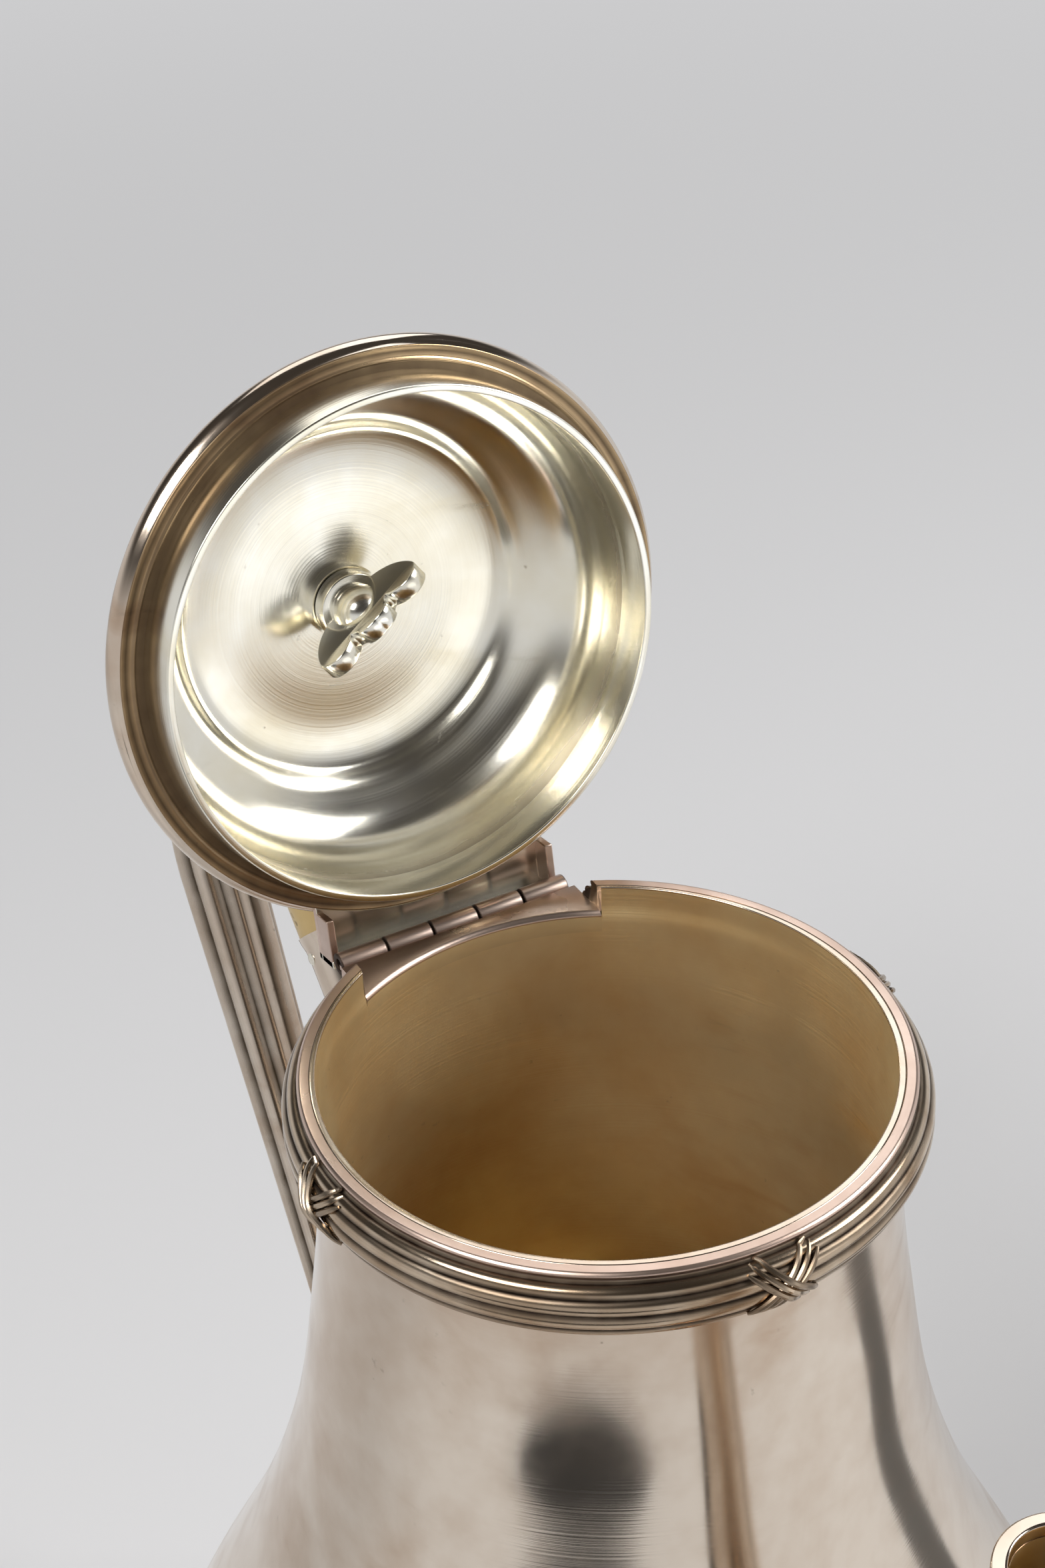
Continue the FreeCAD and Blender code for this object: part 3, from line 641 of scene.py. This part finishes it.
def build_collar():
    """A flat top, a bevel and four reeds, turned round from one side of the notch to the other."""
    seams = under_rim(COLLAR_SEAMS)
    top = rounded(np.vstack([under_rim(COLLAR_TOP), seams[:1]]), 0.2)
    profile = np.vstack([top[:-1], reeds(seams), under_rim(COLLAR_END)])
    flat = len(top) - 4
    marks = [1] * flat + [0] * (len(profile) - flat)
    # The seams between the collar's reeds darkened as grime and painted shade, over a wider reach than at the foot.
    shell = notched(profile, BODY_SIDES, seam_soil(profile, seams, COLLAR_GRIME_AND_SHADE_WIDTH), mark=marks)
    return make("neck_reeds", shell, "pot", (REEDED_TARNISH_AND_SHADE, COPPERY), ("neck_reed_band",))


def seam_soil(profile, seams, width=0.35):
    """Grime and painted shade in the seams: 1 at a seam, falling off over a short width."""
    distance = np.linalg.norm(profile[:, None] - np.asarray(seams)[None], axis=2).min(1)
    return np.exp(-(distance / width) ** 2)


def build_foot():
    """Three reeds round the foot's edge, and the hollow curve that spreads from the base to them."""
    seams = np.asarray(FOOT_SEAMS, float)
    top = FOOT_SEAMS[0][1]
    profile = np.vstack([reeds(seams), [(FOOT_TOE_R, 0.0), (FOOT_R, 0.0), (FOOT_R, top)]])
    # The seams between the foot's reeds darkened as grime and painted shade.
    make("foot_reeds", ring(profile, 280, seam_soil(profile, seams)), "pot", (REEDED_TARNISH_AND_SHADE,),
         ("foot_reed_band",))
    outside, inside = arc(*FOOT_OUTSIDE, 20), arc(*FOOT_INSIDE, 14)
    loop = np.vstack([outside, [(FOOT_R, 0), (FOOT_R - FOOT_WALL, 0)], inside,
                      [(FOOT_BORE_R, FOOT_INSIDE[-1][1]), (FOOT_BORE_R, BASE_Z)]])
    make("foot_spread", ring(loop, 240), "pot", (POLISHED,), ("foot_ring",))


# Ribbons tied round the reeds

def crown_radius(height, seams, crown):
    """Radius of the smooth crown over the reeds at a height."""
    edge = arc(seams[0] + (RIBBON_LIFT, 0), crown, seams[-1] + (RIBBON_LIFT, 0), 60)
    order = np.argsort(edge[:, 1])
    return np.interp(height, edge[order, 1], edge[order, 0])


def ribbon_strands(shell, seams, crown, turn):
    """Two crossed bands of three strands each; the second passes over the first where they cross."""
    middle = (seams[0][1] + seams[-1][1]) / 2
    reach = abs(seams[0][1] - seams[-1][1]) / 2 / math.sin(RIBBON_TILT)
    along = np.linspace(-1, 1, RIBBON_SAMPLES) * reach
    for over, tilt in ((0, RIBBON_TILT), (1, -RIBBON_TILT)):
        for strand in (-1, 0, 1):
            aside = strand * STRAND_PITCH
            y = along * math.cos(tilt) - aside * math.sin(tilt)
            z = np.maximum(middle + along * math.sin(tilt) + aside * math.cos(tilt), STRAND_R)
            lift = over * CROSSING_LIFT * np.exp(-(along / CROSSING_REACH) ** 2)
            radius = crown_radius(z, seams, crown) - STRAND_SINK + lift
            angle = math.radians(turn) + y / crown[0]
            path = np.stack([radius * np.cos(angle), radius * np.sin(angle), z], 1)
            normal = np.stack([np.cos(angle), np.sin(angle), 0 * angle], 1)
            thick = STRAND_R * (1 - STRAND_TAPER * np.abs(along / reach) ** 4)
            # The two outer strands darker than the middle one.
            tube(shell, path, normal, thick, 8, 0.15 + 0.25 * abs(strand))


def build_ribbons():
    """Three ties round the collar, away from the hinge, and four round the foot."""
    neck, foot = Shell(), Shell()
    for turn in NECK_TIES:
        ribbon_strands(neck, under_rim(COLLAR_SEAMS), under_rim([COLLAR_CROWN])[0], turn)
    for turn in FOOT_TIES:
        ribbon_strands(foot, np.asarray(FOOT_SEAMS, float), np.asarray(FOOT_CROWN, float), turn)
    make("neck_ribbon_strands", neck, "pot", (REEDED_TARNISH_AND_SHADE,), ("neck_ribbons",))
    make("foot_ribbon_strands", foot, "pot", (REEDED_TARNISH_AND_SHADE,), ("foot_ribbons",))


# Lid

def build_lid():
    """The band that drops into the mouth, the ridged edge that sits on the collar, and the stepped bowl."""
    band = [(BEZEL_R - WALL, LID_SEAM), (BEZEL_R - WALL, 0), (BEZEL_END_R - WALL, -BEZEL_DEPTH),
            (BEZEL_END_R, -BEZEL_DEPTH), (BEZEL_R, 0), (BEZEL_R, LID_SEAM)]
    make("bezel_band", opened(ring(over_rim(rounded(band, EDGE_ROUND)), LID_SIDES)), "lid", (CHAMPAGNE,),
         ("lid_bezel",))
    flats, bead = rounded(SEAT_FLATS, SEAT_ROUND), arc(*LID_BEAD, 16)
    rim = np.vstack([[(BEZEL_R, LID_RIM_TOP)], flats, bead[1:], [(LID_SHOULDER_R, LID_RIM_TOP)]])
    marks = [0] * (len(flats) - 1) + [1] * (len(bead) + 2)
    # Grime and painted shade in the grooves of the seat.
    soil = 0.7 * seam_soil(rim, SEAT_GROOVES, SEAT_GRIME_AND_SHADE_WIDTH)
    make("lid_edge", opened(ring(over_rim(rim), LID_SIDES, soil, marks)), "lid", (BRONZED, POLISHED),
         ("lid_rim",))
    outer = spline(DOME_OUTLINE, (1, 0), (0, -1), DOME_ROWS)
    inner = offset(outer, WALL)
    dome = np.vstack([[(STUD_BORE, DOME_TOP)], outer, [(BEZEL_R, LID_SEAM), (BEZEL_R - WALL, LID_SEAM)],
                      inner[::-1], [(STUD_BORE, DOME_TOP - WALL)]])
    marks = [0] * (DOME_ROWS + 2) + [1] * (DOME_ROWS + 2) + [0]
    # Darker along the ring where the dome meets the band, inside and out.
    soil = 0.5 * np.exp(-((dome[:, 1] - LID_SEAM) / 0.5) ** 2)
    make("lid_bowl", opened(ring(over_rim(dome), LID_SIDES, soil, marks)), "lid", (POLISHED, CHAMPAGNE),
         ("lid_dome",))


def build_nut():
    """A ball on a collar, turned, and a flat blade between two copies of its outline with softened edges."""
    collar = rounded(np.vstack([[(AXIS_R, 0.0)], NUT_COLLAR]), NUT_ROUND)
    loop = np.vstack([collar[:-1], arc(*NUT_BALL, 24)]) * (1, -1) + (0, NUT_SEAT)
    make("nut_cup", opened(ring(over_rim(loop), 64)), "fly_nut", (CHAMPAGNE,), ("nut_hub",))
    half = np.vstack([arc(*points, 14)[:-1] for points in WING_ARCS] + [[WING_ARCS[-1][-1]]])
    outline = np.vstack([half, (half * (-1, 1))[:0:-1]])
    way = unit(np.roll(outline, -1, 0) - np.roll(outline, 1, 0))
    inward = np.stack([-way[:, 1], way[:, 0]], 1)
    levels = np.array(WING_EDGE)
    flat = outline[None] + levels[:, None, 1:] * inward[None]
    thick = np.broadcast_to(levels[:, :1] * WING_THICK, flat.shape[:2])
    across = flat[..., 0] * math.cos(NUT_TURN) - thick * math.sin(NUT_TURN)
    aside = flat[..., 0] * math.sin(NUT_TURN) + thick * math.cos(NUT_TURN)
    points = np.stack([across, aside, flat[..., 1] + WING_LOW + RIM_Z], -1)
    shell = Shell()
    shell.ends(shell.grid(points, 0.0, (False, True)))
    make("nut_blade", opened(shell), "fly_nut", (CHAMPAGNE,), ("nut_wing",))


def build_finial():
    """A turned foot, a bud drawn in by a cosine between its lobes, and the stud's end under the nut."""
    foot = np.vstack([[(AXIS_R, FINIAL_FOOT[0][1])], FINIAL_FOOT, arc(*FINIAL_COVE, 14), arc(*FINIAL_NECK, 12),
                      [(AXIS_R, FINIAL_NECK[-1][1])]])
    make("finial_foot", opened(ring(over_rim(foot), 96)), "lid", (POLISHED,), ("finial_collar",))
    bud = np.vstack([[(AXIS_R, FINIAL_OUTLINE[0][1])], spline(FINIAL_OUTLINE, (1, 0.3), (-1, 0.8), 48)])
    shell = ring(over_rim(bud), 128)
    points = shell.points[0]
    angle = np.arctan2(points[:, 1], points[:, 0])
    share = np.clip((points[:, 2] - RIM_Z - FINIAL_OUTLINE[0][1]) / LOBE_RISE, 0, 1)
    points[:, :2] *= (1 - LOBE_CUT * share * (1 - np.abs(np.cos(FINIAL_LOBES * angle / 2))))[:, None]
    make("finial_bud", opened(shell), "lid", (POLISHED,), ("finial",))
    top = FINIAL_FOOT[0][1]
    tip = np.vstack([[(AXIS_R, STUD_LOW)], arc(*STUD_TIP, 10), [(STUD_R, top), (AXIS_R, top)]])
    make("stud_tip", opened(ring(over_rim(tip), 48)), "lid", (CHAMPAGNE,), ("finial_stud",))


# Hinge

def knuckle(shell, number):
    """A barrel along the pin with rounded ends; the pin's ends lie a little inside the outer ones."""
    pitch = 2 * BARREL_HALF / KNUCKLES
    low, high = (-BARREL_HALF + (number + step) * pitch for step in (0, 1))
    gap = KNUCKLE_GAP / 2
    first = [(PIN_R, low + PIN_SINK), (PIN_R, low)] if number == 0 else [(PIN_R, low + gap)]
    last = [(PIN_R, high), (PIN_R, high - PIN_SINK)] if number == KNUCKLES - 1 else [(PIN_R, high - gap)]
    profile = rounded(first + [(BARREL_R, first[-1][1]), (BARREL_R, last[0][1])] + last, KNUCKLE_ROUND)
    at = np.linspace(0, 2 * math.pi, KNUCKLE_SIDES, endpoint=False)
    radius, along = profile[:, :1], profile[:, 1:]
    points = np.stack([HINGE_X + radius * np.cos(at), np.broadcast_to(along, (len(profile), KNUCKLE_SIDES)),
                       HINGE_Z + radius * np.sin(at)], -1)
    # Painted shade: the knuckles' ends and the pin darkened fully, as shade in the gaps between knuckles; the
    # barrel a little.
    soil = np.where(radius < BARREL_R - 0.01, 1.0, 0.25)
    shell.ends(shell.grid(points, soil, (False, True), 0, along))


def slab(shell, low, high, mark=0):
    """A block between two corners."""
    x, y, z = zip(low, high)
    loop = np.array([(x[0], z[0]), (x[1], z[0]), (x[1], z[1]), (x[0], z[1])])
    points = np.stack([np.stack([loop[:, 0], np.full(4, level), loop[:, 1]], 1) for level in y], 1)
    index = shell.grid(points, 0.2, (True, False), mark)
    shell.cap(index[:-1, 0], mark)
    shell.cap(index[:-1, -1][::-1], mark)


def plate_to_circle(shell, radius, back, low, top, half, chamfer, edge_mark=0, mark=0):
    """A plate from a straight back edge to a circle round the axis, its edge on the circle bevelled."""
    y = np.linspace(-half, half, PLATE_SAMPLES)
    edge = -np.sqrt(radius ** 2 - y ** 2)
    rows = [(edge, low), (edge, top - 1.3 * chamfer), (edge - 0.15 * chamfer, top - 0.8 * chamfer),
            (edge - 0.8 * chamfer, top - 0.15 * chamfer), (edge - 1.3 * chamfer, top),
            (back + 0.2, top), (back + 0.05, top - 0.05), (back, top - 0.2), (back, low)]
    points = np.stack([np.stack(np.broadcast_arrays(x, y, z), 1) for x, z in rows])
    marks = np.repeat([edge_mark] + [mark] * (len(rows) - 1), PLATE_SAMPLES - 1)
    index = shell.grid(points, 0.1, (True, False), marks)
    shell.cap(index[:-1, 0])
    shell.cap(index[:-1, -1][::-1])


def build_hinge():
    """A plate in the rim's notch with three knuckles, and a box under the lid's edge with two between them."""
    pitch = 2 * BARREL_HALF / KNUCKLES
    front, back = HINGE_X + BARREL_R + SWING_GAP, HINGE_X - BARREL_R
    inner, clear = back + LID_LEAF_THICK, HINGE_Z + BARREL_R + SWING_GAP
    seat = RIM_Z + SEAT
    top = seat + LID_LEAF_THICK
    fixed, moving = Shell(), Shell()
    plate_to_circle(fixed, MOUTH_R, front, RIM_Z - NOTCH_DEPTH, RIM_Z - LEAF_DEPTH, NOTCH_HALF, LEAF_CHAMFER, 1)
    slab(moving, (back, -BARREL_HALF, clear), (inner, BARREL_HALF, top), 1)
    plate_to_circle(moving, LID_LIP_R, back, seat + LID_LEAF_LIFT, top, BARREL_HALF, LID_LEAF_CHAMFER, 1, 1)
    for side in (-1, 1):
        near, far = sorted((side * BARREL_HALF, side * (BARREL_HALF - LID_LEAF_THICK)))
        slab(moving, (back, near, RIM_Z - CHEEK_DEPTH), (HINGE_X + LID_LEAF_CHEEK, far, seat + CHEEK_OVERLAP))
    for number in range(KNUCKLES):
        low = -BARREL_HALF + number * pitch + KNUCKLE_GAP / 2
        high = low + pitch - KNUCKLE_GAP
        if number % 2:
            slab(moving, (back, low, HINGE_Z), (inner, high, clear), 1)
        else:
            slab(fixed, (HINGE_X, low, HINGE_Z - BARREL_R), (front + LEAF_OVERLAP, high, HINGE_Z))
        knuckle(moving if number % 2 else fixed, number)
    make("hinge_plate_and_knuckles", fixed, "pot", (COPPERY, GILT), ("hinge_fixed_leaf",))
    box = make("hinge_box_and_knuckles", opened(moving), "lid", (COPPERY, CHAMPAGNE),
               ("hinge_lid_leaf",))
    bevel = box.modifiers.new("worn_edges", "BEVEL")
    bevel.width, bevel.segments, bevel.limit_method = WORN_EDGE * MM, 2, "ANGLE"


# Spout

def spout_grid(grow):
    """Ovals along the spout's line, level at the mouth, each line of them starting where it leaves the body."""
    stations = np.asarray(SPOUT_LINE, float) * (1, -1, 1, 1) + (0, RIM_Z, 0, 0)
    line = spline(stations, SPOUT_LEAVES, SPOUT_ENDS, SPOUT_STATIONS)
    way = unit(np.gradient(line[:, :2], axis=0))
    share = np.linspace(0, 1, SPOUT_STATIONS)[:, None]
    level = np.clip((share - SPOUT_LEVEL) / (1 - SPOUT_LEVEL), 0, 1) ** 2
    square = unit((1 - level) * np.stack([way[:, 1], -way[:, 0]], 1) + level * np.array([1.0, 0.0]))
    at = np.linspace(0, 2 * math.pi, SPOUT_SIDES, endpoint=False)
    inward = (line[:, 2:3] + grow) * np.cos(at)
    across = (line[:, 3:4] + grow) * np.sin(at)
    points = np.stack([line[:, :1] + square[:, :1] * inward, across, line[:, 1:2] + square[:, 1:] * inward], -1)
    inside = np.hypot(points[..., 0], points[..., 1]) < body_radius(points[..., 2])
    first = np.argmin(inside, axis=0).astype(float)
    row = first + (SPOUT_STATIONS - 1 - first) * np.linspace(0, 1, SPOUT_ROWS)[:, None]
    low = np.clip(row.astype(int), 0, SPOUT_STATIONS - 2)
    part = (row - low)[..., None]
    column = np.arange(SPOUT_SIDES)[None]
    return points[low, column] * (1 - part) + points[low + 1, column] * part


def build_spout():
    """The spout's outside and inside walls, and a rounded band carried round the oval of its mouth."""
    shell = Shell()
    marks = np.repeat([0] * SPOUT_ROWS + [1] * (SPOUT_ROWS - 1) + [0], SPOUT_SIDES)
    shell.grid(np.vstack([spout_grid(0.0), spout_grid(-SPOUT_WALL)[::-1]]), 0.0, (True, True), marks)
    make("spout_neck", shell, "pot", (POLISHED, GILT), ("spout_tube",))
    x, depth, half_in, half_across = SPOUT_LINE[-1]
    edge = rounded([(-SPOUT_WALL, SPOUT_LIP_SEAM), (-SPOUT_WALL, 0), (SPOUT_LIP_OUT, 0), (SPOUT_LIP_OUT, SPOUT_LIP),
                    (-SPOUT_WALL, SPOUT_LIP), (-SPOUT_WALL, SPOUT_LIP_SEAM)], SPOUT_LIP_ROUND)[:-1]
    at = np.linspace(0, 2 * math.pi, SPOUT_SIDES, endpoint=False)
    out, rise = edge[:, :1], np.broadcast_to(edge[:, 1:], (len(edge), SPOUT_SIDES))
    shell = Shell()
    shell.grid(np.stack([x + (half_in + out) * np.cos(at), (half_across + out) * np.sin(at),
                         RIM_Z - depth + rise], -1), 0.0, (True, True))
    make("spout_mouth_band", shell, "pot", (POLISHED,), ("spout_lip",))


# Handle

def heading(degrees):
    """The direction in the handle's plane at an angle from +X towards +Z."""
    turn = np.radians(degrees)
    return np.stack([np.cos(turn), np.sin(turn)], -1)


def straight(place, degrees, length, count):
    """Stations of a straight stretch: centres and headings."""
    centres = place + heading(degrees) * np.linspace(0, length, count)[:, None]
    return centres, np.full(count, float(degrees))


def curved(place, degrees, radius, turn, count):
    """Stations of a stretch that turns to the left."""
    headings = degrees + np.linspace(0, turn, count)
    centre = place + heading(degrees + 90) * radius
    return centre - heading(headings + 90) * radius, headings


def joined(first, *others):
    """Stretches end to end, each but the first without the station that it shares with the one before."""
    stretches = [first] + [(centres[1:], headings[1:]) for centres, headings in others]
    return np.vstack([c for c, _ in stretches]), np.concatenate([h for _, h in stretches])


def swelled(count):
    """A bar's size at its stations, a little larger at the first and falling off as a bell curve."""
    return 1 + SOCKET_SWELL * np.exp(-(np.arange(count) / SWELL_STATIONS) ** 2)


def bar(centres, headings, half, reeds_cut=0.0, swell=1.0):
    """An oval bar along its stations, cut lengthwise into rounded reeds: its points, and the grime and painted
    shade in the reeds' valleys.
    """
    at = np.linspace(0, 2 * math.pi, HANDLE_SIDES, endpoint=False)
    cut = 1 - np.abs(np.cos(HANDLE_REEDS * at / 2))
    reach = (1 - reeds_cut * cut) * np.reshape(swell, (-1, 1))
    half = np.broadcast_to(half, (len(centres), 2))
    inward = half[:, :1] * reach * np.cos(at)
    side = heading(headings + 90)
    points = np.stack([centres[:, :1] + side[:, :1] * inward, half[:, 1:] * reach * np.sin(at),
                       centres[:, 1:] + side[:, 1:] * inward], -1)
    # Painted shade: the valleys between the grip's reeds darkened, over a little grime everywhere.
    soil = (REED_GRIME_AND_SHADE + (1 - REED_GRIME_AND_SHADE) * cut ** 1.2) * (reeds_cut > 0)
    return points, np.broadcast_to(soil, points.shape[:2])


def bar_piece(name, points, soil, material, node):
    """A bar closed at both ends, as a piece."""
    shell = Shell()
    shell.ends(shell.grid(points, soil, (False, True)))
    make(name, shell, "pot", (material,), (node,))


def onto_body(points):
    """Moves the last ring of a bar level along X onto the body's outside."""
    last = points[-1]
    last[:, 0] = -np.sqrt(np.clip(body_radius(last[:, 2]) ** 2 - last[:, 1] ** 2, 0, None))
    return points


def build_handle():
    """The upper socket bends into the body; the reeded grip runs up, over, down and back to the lower socket."""
    upper = np.array([SOCKET_END[0], RIM_Z + SOCKET_END[1]])
    neck = straight(upper, RISE + 180, SOCKET_RUN, 26)
    elbow = curved(neck[0][-1], RISE + 180, SOCKET_BEND, 180 - RISE, 20)
    centres, headings = joined(neck, elbow, straight(elbow[0][-1], 360, UPPER_ROOT, 4))
    points, soil = bar(centres, headings, SOCKET_HALF, 0.0, swelled(len(centres)))
    bar_piece("socket_upper", onto_body(points), soil, POLISHED, "handle_socket_upper")
    start = upper + heading(RISE) * INSULATOR
    run = straight(start, RISE, LOOP_RUN, 10)
    arch = curved(run[0][-1], RISE, LOOP_BEND, LOOP_TURN, 70)
    way = RISE + LOOP_TURN
    shaft = straight(arch[0][-1], way, SHAFT, 60)
    toe = curved(shaft[0][-1], way, LOW_BEND, 360 - way, 30)
    centres, headings = joined(run, arch, shaft, toe)
    taper = np.clip((np.arange(len(centres)) - TAPER_FROM) / TAPER_OVER, 0, 1)[:, None]
    half = (1 - taper) * np.array(GRIP_HALF) + taper * np.array(GRIP_LOW_HALF)
    points, soil = bar(centres, headings, half, REED_CUT)
    bar_piece("grip", points, soil, POLISHED, "handle_loop")
    low = toe[0][-1]
    points, soil = bar(*straight(low + (INSULATOR, 0), 0, LOWER_SOCKET, 8), GRIP_LOW_HALF, 0.0, swelled(8))
    bar_piece("socket_lower", onto_body(points), soil, POLISHED, "handle_socket_lower")
    points, soil = bar(*straight(upper, RISE, INSULATOR, 12), GRIP_HALF, 0.0, BONE_SHARE)
    bar_piece("bone_upper", points, soil, BONE, "insulator_upper")
    points, soil = bar(*straight(low, 0, INSULATOR, 12), GRIP_LOW_HALF, 0.0, BONE_SHARE)
    bar_piece("bone_lower", points, soil, BONE, "insulator_lower")
    build_rivets([(upper + heading(RISE + 180) * PIN_SET, SOCKET_HALF[1]),
                  (start + heading(RISE) * PIN_SET, GRIP_HALF[1]),
                  (low - (PIN_SET, 0), GRIP_LOW_HALF[1]),
                  (low + (INSULATOR + PIN_SET, 0), GRIP_LOW_HALF[1])])


def build_rivets(places):
    """Cross pins with low domed heads: a round bar across the handle with a small swelling past its sides."""
    shell = Shell()
    at = np.linspace(0, 2 * math.pi, PIN_SIDES, endpoint=False)
    for place, half in places:
        head = np.array(PIN_HEAD) + (0, half)
        profile = np.vstack([head * (1, -1), head[::-1]])
        radius, across = profile[:, :1], np.broadcast_to(profile[:, 1:], (len(profile), PIN_SIDES))
        points = np.stack([place[0] + radius * np.cos(at), across, place[1] + radius * np.sin(at)], -1)
        shell.ends(shell.grid(points, 0.1, (False, True)))
    make("rivets", shell, "pot", (CHAMPAGNE,), ("handle_pins",))


def dress_cad():
    """Finishes for the solids that show as they are."""
    finish = {"hinge_pin": COPPERY, "nut_washer": CHAMPAGNE, "base_plate": GILT}
    for name, node in frame["nodes"].items():
        node.data.materials.clear()
        node.data.materials.append(finish.get(name, POLISHED))


# Stage

def build_stage():
    """A pale paper floor that passes into the background's even tone some way behind the pot."""
    floor = bpy.data.meshes.new("floor")
    corners = [(x * FLOOR_HALF, y * FLOOR_HALF, 0) for x, y in ((-1, -1), (1, -1), (1, 1), (-1, 1))]
    floor.from_pydata(corners, [], [(0, 1, 2, 3)])
    sheet = Sheet(bpy.data.materials.new("pale_paper"))
    sheet.set(Base_Color=rgb(0.72, 0.72, 0.73), Roughness=0.9)
    reach = sheet.add("ShaderNodeVectorMath", {"operation": "LENGTH"}, {0: sheet.place()}, "Value")
    rays = ("Camera", "Glossy", "Transmission")
    seen = sum(sheet.add("ShaderNodeLightPath", {}, {}, f"Is {ray} Ray") for ray in rays)
    glow = sheet.add("ShaderNodeEmission", {}, {"Color": PALE, "Strength": 1.0})
    mixed = sheet.add("ShaderNodeMixShader", {}, {0: reach.between(*FADE) * seen.clamp(),
                                                  1: Value(sheet, sheet.shader.outputs[0]), 2: glow})
    sheet.feed(sheet.tree.nodes["Material Output"].inputs["Surface"], mixed)
    floor.materials.append(sheet.material)
    piece = bpy.data.objects.new("floor", floor)
    bpy.context.scene.collection.objects.link(piece)


def soft_light(name, place, aim, size, power):
    """A rectangular lamp that looks at a point; size is in metres and power in watts."""
    lamp = bpy.data.lights.new(name, "AREA")
    lamp.shape = "RECTANGLE"
    lamp.size, lamp.size_y = size
    lamp.energy = power
    piece = bpy.data.objects.new(name, lamp)
    back = unit(np.subtract(place, aim))
    side = unit(np.cross((0, 0, 1), back)) if abs(back[2]) < 0.99 else np.array([1.0, 0, 0])
    turn = Matrix(np.column_stack([side, np.cross(back, side), back]).tolist()).to_4x4()
    piece.matrix_world = Matrix.Translation(place) @ turn
    bpy.context.scene.collection.objects.link(piece)


def card(name, place, facing, size, level):
    """An oval card that only shows in reflections, as a photographer's reflector or flag does."""
    back = unit(facing)
    side = unit(np.cross((0, 0.02, 1), back))
    rise = np.cross(back, side)
    at = np.linspace(0, 2 * math.pi, 64, endpoint=False)[:, None]
    edge = place + np.cos(at) * side * size[0] / 2 + np.sin(at) * rise * size[1] / 2
    mesh = bpy.data.meshes.new(name)
    mesh.from_pydata(edge.tolist(), [], [list(range(64))])
    sheet = Sheet(bpy.data.materials.new(name))
    sheet.set(Base_Color=rgb(0, 0, 0), Roughness=1.0, Emission_Color=rgb(1, 1, 1), Emission_Strength=level)
    mesh.materials.append(sheet.material)
    piece = bpy.data.objects.new(name, mesh)
    bpy.context.scene.collection.objects.link(piece)
    piece.visible_camera = piece.visible_diffuse = piece.visible_shadow = piece.visible_transmission = False


def build_light():
    """A key light at the camera's left, a second one at its right and one on the table behind; a white card, two
    dark ones on the table, and a room that is pale at eye level and dark overhead."""
    soft_light("key", (0.25, -0.75, 1.05), (0, 0, 0.15), (0.6, 0.45), 9)
    soft_light("side", (0.42, 0.80, 0.80), (0.25, 0.1, 0.1), (0.55, 0.45), 8)
    soft_light("back", (-1.0, 0.5, 1.3), (-0.6, 0.3, 0), (1.2, 1.2), 7)
    axis = AXIS_X * MM
    card("white_card", (0.90, 0.36, 0.10), (-0.6, -0.25, 1.0), (0.8, 0.9), 1.25)
    card("dark_card", (0.246 + axis, -0.242, 0.014), (-0.0669, 0.0743, 1.0), (0.46, 0.18), 0.02)
    card("right_card", (0.060 + axis, 0.29, 0.006), (0, 0, 1.0), (0.065, 0.36), 0.12)
    sheet = Sheet(bpy.data.worlds.new("studio"), "Background")
    bpy.context.scene.world = sheet.material
    way = sheet.add("ShaderNodeTexCoord", {}, {}, "Generated")
    rise = sheet.add("ShaderNodeSeparateXYZ", {}, {"Vector": way}, "Z")
    sheet.set(Color=sheet.mix(rise.between(0.08, 0.44), PALE, rgb(0.05, 0.045, 0.04)))
    sheet.set(Strength=1.0)


def rotation(axis, angle):
    """The matrix of a turn about the x, y or z axis."""
    return np.array(Matrix.Rotation(angle, 3, axis))


def build_camera():
    """Aimed at the middle of the mouth from its reach, then turned a little by yaw, pitch and roll."""
    level, rise = math.cos(CAMERA_HEIGHT), math.sin(CAMERA_HEIGHT)
    back = np.array([level * math.cos(CAMERA_AZIMUTH), level * math.sin(CAMERA_AZIMUTH), rise])
    right = unit(np.cross((0, 0, 1), back))
    rows = np.array([right, np.cross(back, right), back])
    rows = rotation("Z", CAMERA_ROLL) @ rotation("X", CAMERA_PITCH) @ rotation("Y", CAMERA_YAW) @ rows
    lens = bpy.data.cameras.new("camera")
    lens.sensor_fit = "VERTICAL"
    lens.sensor_height = FILM
    lens.lens = LENS
    lens.clip_start = 0.01
    camera = bpy.data.objects.new("camera", lens)
    place = back * CAMERA_REACH + np.array([AXIS_X, 0, RIM_Z]) * MM
    camera.matrix_world = Matrix.Translation(place.tolist()) @ Matrix(rows.T.tolist()).to_4x4()
    bpy.context.scene.collection.objects.link(camera)
    bpy.context.scene.camera = camera


dress_cad()
build_body()
build_collar()
build_foot()
build_ribbons()
build_lid()
build_nut()
build_finial()
build_hinge()
build_spout()
build_handle()
build_stage()
build_light()
build_camera()
bpy.context.scene.view_settings.view_transform = "Standard"
